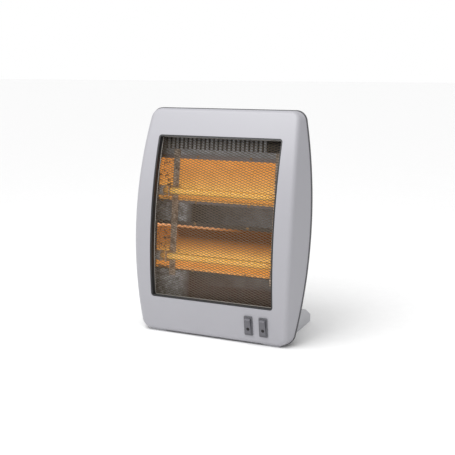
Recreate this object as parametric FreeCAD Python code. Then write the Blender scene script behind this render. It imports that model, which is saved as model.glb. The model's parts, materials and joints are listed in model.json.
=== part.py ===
"""Free-standing quartz heater: a bulging plastic front with a meshed window, two quartz tubes in trough
reflectors, two rocker switches, a tip-over switch, a back cover and two feet.

Millimetres. Every piece is drawn in the casing's own frame: X to the right, Y back from the seam between
front and back, Z up the casing. The whole heater is then leaned back and stood on its feet.
"""
import FreeCAD
import Part
import math
import os

V = FreeCAD.Vector

# Casing
body_height = 355.2
lean_deg = 7.2
floor_gap = 2.0
end_depth = 12.5
front_bulge = 28.5
seam_side_bulge = 18.8
cheek_flare_deg = 20.8
casing_wall = 2.5
corner_radius = 18.0
front_edge_radius = 8.0
corner_depth_share = 0.25

# Clearances
fit_gap = 0.3
running_gap = 0.05
overrun = 5.0

# Window, its rim and the guard mesh
window_half = 103.5
window_bottom = 56.9
window_top_margin = 41.7
window_side_margin = 23.5
window_corner = 5.0
rim_inset = 0.8
rim_thick = 2.2
rim_depth = 9.0
rim_flange = 5.0
rim_flange_thick = 1.6
mesh_thick = 0.8
mesh_seat = 1.1
mesh_border = 2.4
mesh_strand = 1.6
mesh_columns = 8
mesh_rows = 36

# Heat shield with its row of vent slots
shield_thick = 0.8
shield_side_margin = 3.0
shield_bottom = 22.0
shield_top_margin = 13.2
wire_pass_corner = 2.0
vent_height_shares = (0.918, 0.996)
vent_width_shares = (-0.9855, 0.63)
vent_pitch = 7.5
vent_slot_width = 3.6
wire_pass_shares = (0.665, 1.043)
switch_notch_margin = 3.0
switch_notch_top = 50.0

# Reflectors
reflector_sheet = 0.6
reflector_overhang = 9.5
reflector_depth_share = 0.773
reflector_lip = 6.0
upper_reflector_shares = (0.608, 0.86)
lower_reflector_shares = (0.186, 0.447)
trough_floor_share = 0.34
rivet_radius = 1.2
rivet_head_radius = 2.2
rivet_tail_radius = 1.7
rivet_head_thick = 0.9
rivet_lip_share = 0.6
rivet_places_shares = (-0.93, -0.4, 0.4, 0.93)

# Quartz tubes, coils and ceramic caps
tube_radius = 5.5
tube_wall = 1.1
tube_overhang = 0.5
tube_ahead = 9.0
upper_tube_share = 0.6575
lower_tube_share = 0.25
coil_wire_radius = 0.35
coil_radius = 3.6
coil_turns = 44
coil_inset = 9.0
coil_lead_length = 3.0
cap_radius = 7.5
cap_collar_radius = 8.4
cap_collar_length = 3.0
cap_overlap = 6.0
cap_length = 16.0
cap_fit = 0.15
stud_radius = 2.0
stud_out = 8.0
nut_across_flats = 7.0
nut_thick = 3.0
nut_sides = 6

# Tube brackets
left_bracket_inset = 16.5
right_bracket_inset = 7.0
bracket_sheet = 1.2
bracket_width = 10.5
bracket_foot_height = 8.0
bracket_tube_gap = 0.4
bracket_ear_margin = 2.5
screw_radius = 1.5
screw_head_radius = 2.8
screw_head_thick = 2.0
bracket_screw_length = 6.0

# Rocker switches
right_switch_inset = 15.6
switch_pitch = 24.3
switch_rise = 28.8
switch_flange_half = 6.75
switch_flange_half_height = 15.75
switch_flange_thick = 1.5
switch_flange_corner = 1.4
switch_flange_lift = 0.1
switch_half = 5.7
switch_half_height = 14.3
switch_depth = 18.0
pocket_half = 4.6
pocket_half_height = 13.5
pocket_depth = 8.0
rocker_side_gap = 0.25
rocker_end_gap = 0.35
rocker_end_proud = 3.0
rocker_middle_proud = 2.2
rocker_back = 3.0
rocker_tip_deg = 8.0
pivot_depth = 0.6
pivot_radius = 1.2
pivot_pin = 0.85
mark_radius = 2.6
mark_thick = 0.6
mark_proud = 0.15
mark_place_share = 0.29
blade_width = 4.8
blade_thick = 0.8
blade_length = 7.5
blade_spread_share = 0.42

# Tip-over switch
tip_post_gap = 32.0
tip_ahead_wall = 2.7
tip_half_width = 10.0
tip_bottom = 24.0
tip_floor = 4.0
tip_roof = 3.0
tip_chamber_radius = 6.0
tip_chamber_height = 21.0
plunger_radius = 4.0
plunger_collar_thick = 2.0
plunger_travel = 5.0
plunger_floor_gap = 0.2
plunger_hole_gap = 0.6
spring_wire_radius = 0.4
spring_turns = 5
spring_inset = 1.0
tip_ear = 9.0
tip_ear_thick = 3.0

# Thermal cut-out
cutout_place = 40.0
cutout_share = 0.5277
cutout_radius = 8.0
cutout_height = 9.0
cutout_flange_half = 12.0
cutout_flange_half_height = 5.0
cutout_flange_thick = 1.2
cutout_blade_gap = 8.0

# Back cover
cover_depth = 42.0
cover_lip = 5.0
cover_proud = 0.8
cover_step = 1.0
cover_taper_deg = 21.8
cover_top_slope_deg = 24.0
cover_bottom_slope_deg = 20.0
cover_edge_radius = 10.0
louvre_height = 3.0
louvre_corner_share = 0.33
louvre_length = 52.0
louvre_pitch = 9.0
louvre_rows = 11
louvre_bottom = 112.0
louvre_columns = (-74.0, 0.0, 74.0)
grip_half = 50.0
grip_top_margin = 33.2
grip_height = 30.0
grip_depth = 20.0
grip_corner = 8.0

# Posts, bosses and the screws that close the casing
boss_radius = 4.5
pilot_depth = 14.0
corner_post_inset = 25.0
low_post_rise = 36.0
high_post_margin = 25.2
side_post_inset = 8.0
cover_screw_length = 18.0
cover_screw_sink = 9.0
counterbore_gap = 0.4

# Cord gland
gland_place = -52.0
gland_rise = 52.0
gland_bore_radius = 3.6
gland_neck_radius = 6.5
gland_flange_radius = 10.0
gland_flange_thick = 2.6

# Terminal block
block_place = 4.0
block_rise = 60.0
block_half_width = 19.0
block_half_height = 8.0
block_depth = 15.0
block_pole_pitch = 12.0
block_way_radius = 2.0
block_way_share = 0.33
block_corner_share = 0.25
block_screw_radius = 1.9
block_screw_length = 7.0

# Feet
foot_inset = 16.0
foot_width = 27.0
foot_front = 6.0
foot_back = 151.0
foot_back_height = 12.0
foot_shoulder_back = 25.0
foot_shoulder_height = 27.0
foot_heel_height = 38.0
foot_wall = 2.5
foot_wedge_front = 31.0
foot_screw_back = 31.0
foot_screw_spread = 6.0
foot_screw_length = 12.0
foot_screw_sink = 3.0
foot_boss_height = 12.0

# Wires
wire_radius = 1.3
wire_stub = 10.0
bend_share = 0.45
left_feed_shares = [(0.268, 0.684, 0.246), (0.425, 0.557, 0.179)]
right_feed_shares = [(0.299, 0.658, 0.089), (0.551, 0.506, 0.115)]
lower_tube_shares = [(0.614, 0.405, 0.070), (0.764, 0.304, 0.056), (0.906, 0.304, 0.088),
                     (0.961, 0.253, 0.179), (1.031, 0.152, 0.274)]
upper_tube_shares = [(0.748, 0.532, 0.134), (0.890, 0.532, 0.173), (0.992, 0.481, 0.291),
                     (1.039, 0.405, 0.447), (1.039, 0.127, 0.576)]
upper_return_shares = [(-1.039, 0.076, 0.593), (-1.000, 0.380, 0.554), (-0.756, 0.557, 0.534),
                       (-0.283, 0.608, 0.543), (0.110, 0.684, 0.531)]
cutout_shares = [(0.299, 0.861, 0.487), (0.118, 0.886, 0.391), (0.039, 0.861, 0.296)]
lower_return_shares = [(-1.039, 0.076, 0.302), (-0.969, 0.354, 0.249), (-0.787, 0.532, 0.215),
                       (-0.630, 0.405, 0.201)]
tip_shares = [(-0.409, 0.430, 0.193), (-0.268, 0.633, 0.157), (-0.110, 0.709, 0.106)]

# How closely windings are tested against themselves
arc_steps = 4
tested_turns = 3

reach = body_height
lean = math.radians(lean_deg)
level_rise = math.tan(lean)

# Widths that follow the window
seam_end_half = window_half + window_side_margin
shield_half = seam_end_half - shield_side_margin
corner_post_place = seam_end_half - corner_post_inset
side_post_place = seam_end_half - side_post_inset
foot_outer = seam_end_half - foot_inset
right_switch_place = window_half - right_switch_inset
left_switch_place = right_switch_place - switch_pitch
tip_place = tip_post_gap - corner_post_place
reflector_half = window_half + reflector_overhang
tube_half = window_half + tube_overhang
coil_half = tube_half - coil_inset
cap_inner_end = tube_half - cap_overlap
vent_left, vent_right = [share * window_half for share in vent_width_shares]
wire_pass_left, wire_pass_right = [share * window_half for share in wire_pass_shares]

# Heights that follow the casing
window_top = body_height - window_top_margin
shield_top = body_height - shield_top_margin
high_post_rise = body_height - high_post_margin
grip_top = body_height - grip_top_margin
grip_bottom = grip_top - grip_height


def window_rise(share):
    """Height of a share of the window, from its bottom edge to its top edge."""
    return window_bottom + share * (window_top - window_bottom)


vent_bottom, vent_top = [window_rise(share) for share in vent_height_shares]
upper_tube_rise, lower_tube_rise = window_rise(upper_tube_share), window_rise(lower_tube_share)
cutout_rise = window_rise(cutout_share)


def chord_radius(chord, rise):
    """Radius of the arc over a chord with the given rise."""
    return (chord * chord / 4 + rise * rise) / (2 * rise)


front_radius = chord_radius(body_height, front_bulge)
front_centre_y = front_radius - end_depth - front_bulge
seam_bottom = end_depth * level_rise
seam_top = body_height + seam_bottom


def front_y(z, inset=0):
    """Where the bulging front lies at height z, or a surface the inset behind it."""
    radius = front_radius - inset
    return front_centre_y - math.sqrt(radius * radius - (z - body_height / 2) ** 2)


def to_casing(y, z):
    """A point beside the floor, measured back from the front bottom edge and up, in the casing's frame."""
    y_from, z_from = y, z - floor_gap
    back = y_from * math.cos(lean) - z_from * math.sin(lean) - end_depth
    return back, y_from * math.sin(lean) + z_from * math.cos(lean)


def polygon(points):
    """A closed wire through the points."""
    return Part.makePolygon(list(points) + [points[0]])


def line(start, end):
    return Part.LineSegment(start, end).toShape()


def arc(start, middle, end):
    return Part.Arc(start, middle, end).toShape()


def box(x0, x1, y0, y1, z0, z1):
    return Part.makeBox(x1 - x0, y1 - y0, z1 - z0, V(x0, y0, z0))


def rod(radius, start, end):
    """A round bar from one point to another."""
    return Part.makeCylinder(radius, (end - start).Length, start, end - start)


def across(profile):
    """A profile in the YZ plane carried right across the heater."""
    face = Part.Face(profile)
    face.translate(V(-reach, 0, 0))
    return face.extrude(V(2 * reach, 0, 0))


def rounded_outline(x0, x1, z0, z1, radius, y=0):
    """A rectangle with round corners, upright in the plane at depth y."""
    if radius <= 0:
        return polygon([V(x0, y, z0), V(x1, y, z0), V(x1, y, z1), V(x0, y, z1)])
    slack = radius * (1 - math.sqrt(1 / 2))
    return Part.Wire([
        line(V(x0 + radius, y, z0), V(x1 - radius, y, z0)),
        arc(V(x1 - radius, y, z0), V(x1 - slack, y, z0 + slack), V(x1, y, z0 + radius)),
        line(V(x1, y, z0 + radius), V(x1, y, z1 - radius)),
        arc(V(x1, y, z1 - radius), V(x1 - slack, y, z1 - slack), V(x1 - radius, y, z1)),
        line(V(x1 - radius, y, z1), V(x0 + radius, y, z1)),
        arc(V(x0 + radius, y, z1), V(x0 + slack, y, z1 - slack), V(x0, y, z1 - radius)),
        line(V(x0, y, z1 - radius), V(x0, y, z0 + radius)),
        arc(V(x0, y, z0 + radius), V(x0 + slack, y, z0 + slack), V(x0 + radius, y, z0)),
    ])


def rounded_block(x0, x1, y0, y1, z0, z1, radius):
    """A block with its four edges along Y rounded."""
    return Part.Face(rounded_outline(x0, x1, z0, z1, radius, y0)).extrude(V(0, y1 - y0, 0))


def one(shape):
    """The single solid of a shape, with split faces joined."""
    return shape.removeSplitter().Solids[0]


def cheek_prism(side, flare_deg, half_end, ref_y, inset):
    """All that lies inboard of one cheek: an upright bowed line carried along the cheek's slant."""
    flare = math.radians(flare_deg)
    out = V(side * math.cos(flare), -math.sin(flare), 0)
    run = V(side * math.sin(flare), math.cos(flare), 0)
    rise = seam_side_bulge * math.cos(flare)
    radius = chord_radius(body_height, rise)
    middle = half_end * math.cos(flare) + rise
    low, high = -end_depth, body_height + end_depth
    drop = math.sqrt((radius - inset) ** 2 - (high - body_height / 2) ** 2)
    end = middle - radius + drop

    def place(n, z):
        return V(0, ref_y, z) + out * n - run * reach

    wire = Part.Wire([
        line(place(-reach, low), place(end, low)),
        arc(place(end, low), place(middle - inset, body_height / 2), place(end, high)),
        line(place(end, high), place(-reach, high)),
        line(place(-reach, high), place(-reach, low)),
    ])
    return Part.Face(wire).extrude(run * (2 * reach))


def rounded_casing(profile, flare_deg, half_end, ref_y, inset, corner, edge, end_sign):
    """A casing shape: a side profile trimmed by two bowed cheeks, with its corners and end edges rounded.

    end_sign is -1 where the rounded end faces forward, 1 where it faces back and 0 for none.
    """
    solid = across(profile)
    for side in (1, -1):
        solid = solid.common(cheek_prism(side, flare_deg, half_end, ref_y, inset))
    solid = solid.Solids[0]
    deep = corner_depth_share * solid.BoundBox.YLength
    corners = [e for e in solid.Edges if abs(e.Vertexes[0].Y - e.Vertexes[-1].Y) > deep]
    solid = solid.makeFillet(corner, corners)
    if end_sign:
        end_face = max(solid.Faces, key=lambda face: end_sign * face.CenterOfMass.y)
        solid = solid.makeFillet(edge, end_face.OuterWire.Edges)
    return solid.Solids[0]


def front_meets(start, radius):
    """Where a level line through a point of the side profile meets the front surface of the given radius."""
    from_y, from_z = start[0] - front_centre_y, start[1] - body_height / 2
    along = from_y * math.cos(lean) + from_z * math.sin(lean)
    left = along * along - from_y * from_y - from_z * from_z + radius * radius
    step = -along - math.sqrt(left)
    return V(0, start[0] + step * math.cos(lean), start[1] + step * math.sin(lean))


def bezel_form(inset, back):
    """The front's outer form, or the same shape the inset inside it, as far back as asked."""
    low = (-end_depth - inset * math.sin(lean), inset * math.cos(lean))
    high = (-end_depth + inset * math.sin(lean), body_height - inset * math.cos(lean))
    radius = front_radius - inset
    low_front, high_front = front_meets(low, radius), front_meets(high, radius)
    low_back = V(0, back, low[1] + (back - low[0]) * level_rise)
    high_back = V(0, back, high[1] + (back - high[0]) * level_rise)
    profile = Part.Wire([
        line(low_back, low_front),
        arc(low_front, V(0, front_centre_y - radius, body_height / 2), high_front),
        line(high_front, high_back),
        line(high_back, low_back),
    ])
    return rounded_casing(profile, cheek_flare_deg, seam_end_half, 0, inset,
                          corner_radius - inset, front_edge_radius - inset, -1)


def cover_form(inset, front):
    """The back cover's tapering form, or the same shape the inset inside it, from the given depth on."""
    top_fall = math.tan(math.radians(cover_top_slope_deg))
    low_climb = math.tan(math.radians(cover_bottom_slope_deg))
    top = seam_top + cover_lip * level_rise - cover_step - inset * math.hypot(1, top_fall)
    low = seam_bottom + cover_lip * level_rise + cover_step + inset * math.hypot(1, low_climb)
    back = cover_depth - inset
    profile = polygon([
        V(0, front, low + (front - cover_lip) * low_climb),
        V(0, back, low + (back - cover_lip) * low_climb),
        V(0, back, top - (back - cover_lip) * top_fall),
        V(0, front, top - (front - cover_lip) * top_fall),
    ])
    return rounded_casing(profile, -cover_taper_deg, seam_end_half - cover_step, cover_lip, inset,
                          corner_radius - inset, cover_edge_radius - inset, 1)


def cover_lip_form():
    """The collar where the back cover meets the front, standing a little proud of it."""
    climb = cover_lip * level_rise
    high = seam_top + cover_proud
    profile = polygon([V(0, 0, seam_bottom), V(0, cover_lip, seam_bottom + climb),
                       V(0, cover_lip, high + climb), V(0, 0, high)])
    return rounded_casing(profile, 0, seam_end_half + cover_proud, 0, 0, corner_radius, 0, 0)


def front_layer(near, far):
    """The layer between two depths behind the bulging front, far wider and taller than the window."""
    half = body_height / 2
    low, high = -half / 2, body_height + half / 2

    def place(z, inset):
        return V(0, front_y(z, inset), z)

    return across(Part.Wire([
        arc(place(low, near), place(half, near), place(high, near)),
        line(place(high, near), place(high, far)),
        arc(place(high, far), place(half, far), place(low, far)),
        line(place(low, far), place(low, near)),
    ]))


def window_prism(grow):
    """The window's opening carried front to back, grown all round by the given amount."""
    return rounded_block(-window_half - grow, window_half + grow, -reach, reach / 2,
                         window_bottom - grow, window_top + grow, max(window_corner + grow, 0))


post_places = [(side * corner_post_place, z) for side in (-1, 1) for z in (low_post_rise, high_post_rise)]
post_places += [(side * side_post_place, body_height / 2) for side in (-1, 1)]
switch_places = {"left": left_switch_place, "right": right_switch_place}
tube_rises = {"upper": upper_tube_rise, "lower": lower_tube_rise}


def at_switch(shape, place):
    """Turns a switch piece, drawn with its front facing -Y, square to the front at its place."""
    tilt = math.degrees(math.asin((body_height / 2 - switch_rise) / front_radius))
    moved = shape.copy()
    moved.rotate(V(0, 0, 0), V(1, 0, 0), tilt)
    moved.translate(V(place, front_y(switch_rise), switch_rise))
    return moved


def front_bezel():
    """The plastic front: a bowed shell with the window, two switch holes and six screw bosses."""
    outer = bezel_form(0, 0)
    shell = outer.cut(bezel_form(casing_wall, overrun))
    bosses = [rod(boss_radius, V(x, -reach / 2, z), V(x, 0, z)).common(outer) for x, z in post_places]
    shell = shell.fuse(bosses)
    pilots = [rod(screw_radius + running_gap, V(x, -pilot_depth, z), V(x, overrun, z))
              for x, z in post_places]
    half, tall = switch_half + fit_gap, switch_half_height + fit_gap
    hole = box(-half, half, -overrun, casing_wall + overrun, -tall, tall)
    holes = [at_switch(hole, place) for place in switch_places.values()]
    front_hole = window_prism(0).common(box(-reach, reach, -reach, -end_depth / 2, 0, reach))
    return one(shell.cut(pilots + holes + [front_hole]))


def grille_frame():
    """The window's rim: a deep ring with a seat for the mesh and a flange behind the front."""
    seat = rim_inset + rim_depth
    outside = window_prism(-fit_gap)
    ring = front_layer(rim_inset, seat).common(outside.cut(window_prism(-fit_gap - rim_thick)))
    skirt = front_layer(seat, seat + mesh_thick + 2 * fit_gap)
    skirt = skirt.common(outside.cut(window_prism(-fit_gap - mesh_seat)))
    flange_from = casing_wall + fit_gap
    flange = front_layer(flange_from, flange_from + rim_flange_thick)
    flange = flange.common(window_prism(rim_flange).cut(window_prism(-fit_gap - rim_thick / 2)))
    return one(ring.fuse([skirt, flange]))


def grille_mesh():
    """The guard: one sheet with staggered diamond gaps, bowed like the front."""
    edge = window_half - 2 * fit_gap - mesh_seat
    low = window_bottom + window_half - edge
    high = window_top - window_half + edge
    pitch_x = 2 * (edge - mesh_border) / mesh_columns
    pitch_z = (high - low - 2 * mesh_border) / (mesh_rows + 1)
    half_x, half_z = (pitch_x - mesh_strand) / 2, pitch_z - mesh_strand / 2
    wires = [rounded_outline(-edge, edge, low, high, window_corner - mesh_seat - 2 * fit_gap)]
    for row in range(mesh_rows):
        middle_z = low + mesh_border + (row + 1) * pitch_z
        count = mesh_columns - row % 2
        for column in range(count):
            middle_x = (column - (count - 1) / 2) * pitch_x
            wires.append(polygon([V(middle_x - half_x, 0, middle_z), V(middle_x, 0, middle_z - half_z),
                                  V(middle_x + half_x, 0, middle_z), V(middle_x, 0, middle_z + half_z)]))
    net = Part.makeFace(wires, "Part::FaceMakerBullseye")
    net.translate(V(0, -reach / 2, 0))
    seat = rim_inset + rim_depth + fit_gap
    return net.extrude(V(0, reach / 2, 0)).common(front_layer(seat, seat + mesh_thick)).Solids[0]


def trough_sizes(bottom, top):
    """Depth of a trough, and the height and radii of its two arcs, which meet at its deepest line."""
    depth = reflector_depth_share * (cover_depth - casing_wall)
    floor = bottom + trough_floor_share * (top - bottom)
    low_radius = (depth ** 2 + (floor - bottom) ** 2) / (2 * depth)
    high_radius = (depth ** 2 + (top - floor) ** 2) / (2 * depth)
    return depth, floor, low_radius, high_radius


def trough_side(bottom, top, grow):
    """Edges of a trough's profile, grown outward, from its bottom lip round to its top lip."""
    depth, floor, low_radius, high_radius = trough_sizes(bottom, top)
    deepest = V(0, depth + grow, floor)
    edges = []
    for sign, radius in ((-1, low_radius), (1, high_radius)):
        centre_y = depth - radius
        grown = radius + grow
        lip_angle = math.acos(-centre_y / grown)
        middle = V(0, centre_y + grown * math.cos(lip_angle / 2),
                   floor + sign * grown * math.sin(lip_angle / 2))
        lip = V(0, 0, floor + sign * grown * math.sin(lip_angle))
        edges.append((lip, middle, deepest) if sign < 0 else (deepest, middle, lip))
    return edges


def trough_opening(bottom, top, grow):
    """The heights between which a grown trough passes through the heat shield, front and back."""
    depth, floor, low_radius, high_radius = trough_sizes(bottom, top)
    low, high = [max(math.sqrt((radius + grow) ** 2 - (y - depth + radius) ** 2) for y in (0, shield_thick))
                 for radius in (low_radius, high_radius)]
    return floor - low, floor + high


def reflector(bottom, top):
    """A polished trough of bent sheet with closed ends and a flat lip along its top and bottom."""
    inner = trough_side(bottom, top, 0)
    outer = trough_side(bottom, top, reflector_sheet)
    inner_low, inner_high = inner[0][0], inner[1][2]
    outer_low, outer_high = outer[0][0], outer[1][2]
    lip, ahead = V(0, 0, reflector_lip), V(0, -reflector_sheet, 0)
    edges = [arc(*part) for part in outer]
    edges += [line(outer_high, inner_high + lip), line(inner_high + lip, inner_high + lip + ahead),
              line(inner_high + lip + ahead, inner_high + ahead), line(inner_high + ahead, inner_high)]
    edges += [arc(*reversed(part)) for part in reversed(inner)]
    edges += [line(inner_low, inner_low + ahead), line(inner_low + ahead, inner_low - lip + ahead),
              line(inner_low - lip + ahead, inner_low - lip), line(inner_low - lip, outer_low)]
    sheet = Part.Face(Part.Wire(edges))
    sheet.translate(V(-reflector_half, 0, 0))
    end = Part.Face(Part.Wire([arc(*part) for part in inner] + [line(inner_high, inner_low)]))
    ends = []
    for side in (-1, 1):
        plate = end.extrude(V(-side * reflector_sheet, 0, 0))
        plate.translate(V(side * reflector_half, 0, 0))
        ends.append(plate)
    return sheet.extrude(V(2 * reflector_half, 0, 0)).fuse(ends)


reflector_spans = {"upper": tuple(window_rise(share) for share in upper_reflector_shares),
                   "lower": tuple(window_rise(share) for share in lower_reflector_shares)}


def rivet_places():
    """Where the rivets hold the lips of both reflectors."""
    for bottom, top in reflector_spans.values():
        for share in rivet_places_shares:
            for z in (bottom - rivet_lip_share * reflector_lip, top + rivet_lip_share * reflector_lip):
                yield share * reflector_half, z


def bracket_feet():
    """Heights where the tube brackets stand on the heat shield: below, between and above the troughs."""
    clear = reflector_lip + 2 * fit_gap + bracket_foot_height / 2
    low_bottom, low_top = reflector_spans["lower"]
    high_bottom, high_top = reflector_spans["upper"]
    return low_bottom - clear, (low_top + high_bottom) / 2, high_top + clear


def bracket_back():
    """How far ahead of the heat shield a bracket's strip passes, clear of the reflector lips."""
    return reflector_sheet + fit_gap


bracket_outer_edges = {-1: window_half - left_bracket_inset, 1: window_half - right_bracket_inset}


def bracket_screw_places():
    for side, outer in bracket_outer_edges.items():
        for z in bracket_feet():
            yield side * (outer - bracket_width / 2), z


def tip_screw_places():
    middle = tip_bottom + tip_height() / 2
    for side in (-1, 1):
        yield tip_place + side * (tip_half_width + tip_ear / 2), middle


def cutout_screw_places():
    for side in (-1, 1):
        yield cutout_place + side * (cutout_radius + cutout_flange_half) / 2, cutout_rise


def heat_shield():
    """The flat panel that carries the reflectors, with vent slots above and room for the switches below."""
    left = min(switch_places.values()) - switch_flange_half - switch_notch_margin
    right = corner_post_place - boss_radius
    outline = polygon([
        V(-shield_half, 0, shield_bottom), V(left, 0, shield_bottom), V(left, 0, switch_notch_top),
        V(right, 0, switch_notch_top), V(right, 0, shield_bottom), V(shield_half, 0, shield_bottom),
        V(shield_half, 0, shield_top), V(-shield_half, 0, shield_top)])
    wires = [outline]
    room = reflector_sheet + fit_gap
    for bottom, top in reflector_spans.values():
        low, high = trough_opening(bottom, top, room)
        half = reflector_half + fit_gap
        wires.append(rounded_outline(-half, half, low, high, 0))
    for number in range(int((vent_right - vent_left) / vent_pitch) + 1):
        middle = vent_left + number * vent_pitch
        half = vent_slot_width / 2
        wires.append(rounded_outline(middle - half, middle + half, vent_bottom, vent_top, 0))
    wires.append(rounded_outline(wire_pass_left, wire_pass_right, vent_bottom, vent_top, wire_pass_corner))
    sheet = Part.makeFace(wires, "Part::FaceMakerBullseye").extrude(V(0, shield_thick, 0))
    holes = [(x, z, screw_radius + fit_gap) for x, z in post_places]
    holes += [(x, z, screw_radius + running_gap) for x, z in bracket_screw_places()]
    holes += [(x, z, screw_radius + running_gap) for x, z in tip_screw_places()]
    holes += [(x, z, screw_radius + running_gap) for x, z in cutout_screw_places()]
    holes += [(x, z, rivet_radius + running_gap) for x, z in rivet_places()]
    return one(sheet.cut([rod(r, V(x, -overrun, z), V(x, overrun, z)) for x, z, r in holes]))


def drilled_reflector(name):
    """A reflector with its rivet holes."""
    bottom, top = reflector_spans[name]
    holes = [rod(rivet_radius + running_gap, V(x, -overrun, z), V(x, overrun / 2, z))
             for x, z in rivet_places() if bottom - reflector_lip < z < top + reflector_lip]
    return one(reflector(bottom, top).cut(holes))


def reflector_rivets():
    """Headed rivets through the lips and the heat shield."""
    rivets = []
    for x, z in rivet_places():
        front = V(x, -reflector_sheet, z)
        back = V(x, shield_thick, z)
        ahead = V(0, -rivet_head_thick, 0)
        rivet = rod(rivet_radius, front, back)
        rivet = rivet.fuse([rod(rivet_head_radius, front, front + ahead),
                            rod(rivet_tail_radius, back, back - ahead)])
        rivets.append(one(rivet))
    return Part.makeCompound(rivets)


def headed_screw(seat, direction, length):
    """A pan-head screw: its head on the seat, its shank along the direction."""
    head = rod(screw_head_radius, seat, seat - direction * screw_head_thick)
    return one(head.fuse(rod(screw_radius, seat, seat + direction * length)))


def tube_bracket(side):
    """A flat strip across both troughs on three feet, with an upright ear round each tube."""
    outer = bracket_outer_edges[side]
    inner = outer - bracket_width
    back = bracket_back()
    feet = bracket_feet()
    half = bracket_foot_height / 2
    strip = box(inner, outer, -back - bracket_sheet, -back, feet[0] - half, feet[-1] + half)
    pads = [box(inner, outer, -back, 0, z - half, z + half) for z in feet]
    hold = tube_radius + bracket_tube_gap
    ear = hold + bracket_ear_margin
    ears = [box(outer - bracket_sheet, outer, -tube_ahead - ear, -back, z - ear, z + ear)
            for z in tube_rises.values()]
    holes = [rod(hold, V(outer - bracket_sheet - overrun, -tube_ahead, z), V(outer + overrun, -tube_ahead, z))
             for z in tube_rises.values()]
    holes += [rod(screw_radius + running_gap, V(side * x, -back - bracket_sheet - overrun, z),
                  V(side * x, overrun, z)) for x, z in bracket_screw_places() if x * side > 0]
    bracket = one(strip.fuse(pads + ears).cut(holes))
    return bracket if side > 0 else bracket.mirror(V(0, 0, 0), V(1, 0, 0))


def bracket_screws():
    seat = -bracket_back() - bracket_sheet
    return Part.makeCompound([headed_screw(V(x, seat, z), V(0, 1, 0), bracket_screw_length)
                              for x, z in bracket_screw_places()])


def quartz_tube(z):
    """An open glass tube across the heater."""
    start, end = V(-tube_half, -tube_ahead, z), V(tube_half, -tube_ahead, z)
    way = V(overrun, 0, 0)
    return one(rod(tube_radius, start, end).cut(rod(tube_radius - tube_wall, start - way, end + way)))


def tangent_arc(near, apex, far):
    """The arc from near to far whose end tangents meet at the apex, which lies as far from both."""
    chord_middle = (near + far) / 2
    half = (far - near).Length / 2
    height = (apex - chord_middle).Length
    sag = half * math.tan(math.atan2(height, half) / 2)
    return arc(near, chord_middle + (apex - chord_middle) * (sag / height), far)


def swept(path, radius):
    """A round wire along a smooth path."""
    first = path.Edges[0]
    section = Part.Wire(Part.makeCircle(radius, first.valueAt(first.FirstParameter),
                                        first.tangentAt(first.FirstParameter)))
    sweep = Part.BRepOffsetAPI.MakePipeShell(path)
    sweep.add(section)
    sweep.build()
    sweep.makeSolid()
    solid = sweep.shape().Solids[0]
    plain = math.pi * radius ** 2 * path.Length
    print("wire: volume over section times length", round(solid.Volume / plain, 4))
    return solid


def biarc(start, start_way, end, end_way):
    """Two arcs that leave one point and reach another along the given directions."""
    both, span = start_way + end_way, end - start
    square = 4 - both.dot(both)
    along = span.dot(both)
    handle = (math.sqrt(along * along + square * span.dot(span)) - along) / square
    first, last = start + start_way * handle, end - end_way * handle
    joint = (first + last) / 2
    return [tangent_arc(start, first, joint), tangent_arc(joint, last, end)]


def winding(centre, axis, side, radius, half_length, turns, lead, thickness):
    """One unbroken round wire: a straight lead on the axis, the turns as half-turn biarcs, a lead again."""
    third = axis.cross(side)
    halves = 2 * turns
    pitch = 2 * half_length / turns
    climb = math.hypot(pitch, 2 * math.pi * radius)

    def spot(step):
        angle = math.pi * step
        return (centre + axis * (step / halves * 2 * half_length - half_length)
                + side * (radius * math.cos(angle)) + third * (radius * math.sin(angle)))

    def way(step):
        angle = math.pi * step
        round_way = third * math.cos(angle) - side * math.sin(angle)
        return (round_way * (2 * math.pi * radius) + axis * pitch) * (1 / climb)

    lead_in = centre - axis * (half_length + radius)
    lead_out = centre + axis * (half_length + radius)
    edges = [line(lead_in - axis * lead, lead_in)] if lead else []
    if lead:
        edges += biarc(lead_in, axis, spot(0), way(0))
    for step in range(halves):
        edges += biarc(spot(step), way(step), spot(step + 1), way(step + 1))
    if lead:
        edges += biarc(spot(halves), way(halves), lead_out, axis)
        edges.append(line(lead_out, lead_out + axis * lead))
    path = Part.Wire(edges)
    print("winding: least gap to itself", round(least_self_gap(path, climb / 2) - 2 * thickness, 2))
    return swept(path, thickness)


def least_self_gap(path, half_turn):
    """Least distance between points of a winding's middle line that lie over half a turn apart along it."""
    points, lengths, run = [], [], 0
    for edge in path.Edges:
        for point in edge.discretize(arc_steps)[:-1]:
            points.append(point)
            lengths.append(run)
        run += edge.Length
    return min((points[i] - points[j]).Length
               for i in range(len(points)) for j in range(i + 1, len(points))
               if half_turn < lengths[j] - lengths[i] < 2 * tested_turns * half_turn)


def heating_coil(z):
    """The glowing wire inside a tube."""
    return winding(V(0, -tube_ahead, z), V(1, 0, 0), V(0, 0, 1), coil_radius, coil_half, coil_turns,
                   coil_lead_length, coil_wire_radius)


def stud_inner_end():
    """Where the terminal studs start, just past the coil's straight lead."""
    return coil_half + coil_radius + coil_lead_length + fit_gap


def tube_cap(side, z):
    """A ceramic cap over a tube's end, with a way through for the terminal stud."""
    def spot(x):
        return V(side * x, -tube_ahead, z)

    outer_end = cap_inner_end + cap_length
    socket_end = tube_half + fit_gap
    body = rod(cap_radius, spot(cap_inner_end), spot(outer_end))
    body = body.fuse(rod(cap_collar_radius, spot(cap_inner_end), spot(cap_inner_end + cap_collar_length)))
    body = body.cut([rod(tube_radius + cap_fit, spot(cap_inner_end - overrun), spot(socket_end)),
                     rod(stud_radius + running_gap, spot(cap_inner_end), spot(outer_end + overrun))])
    return one(body)


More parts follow.
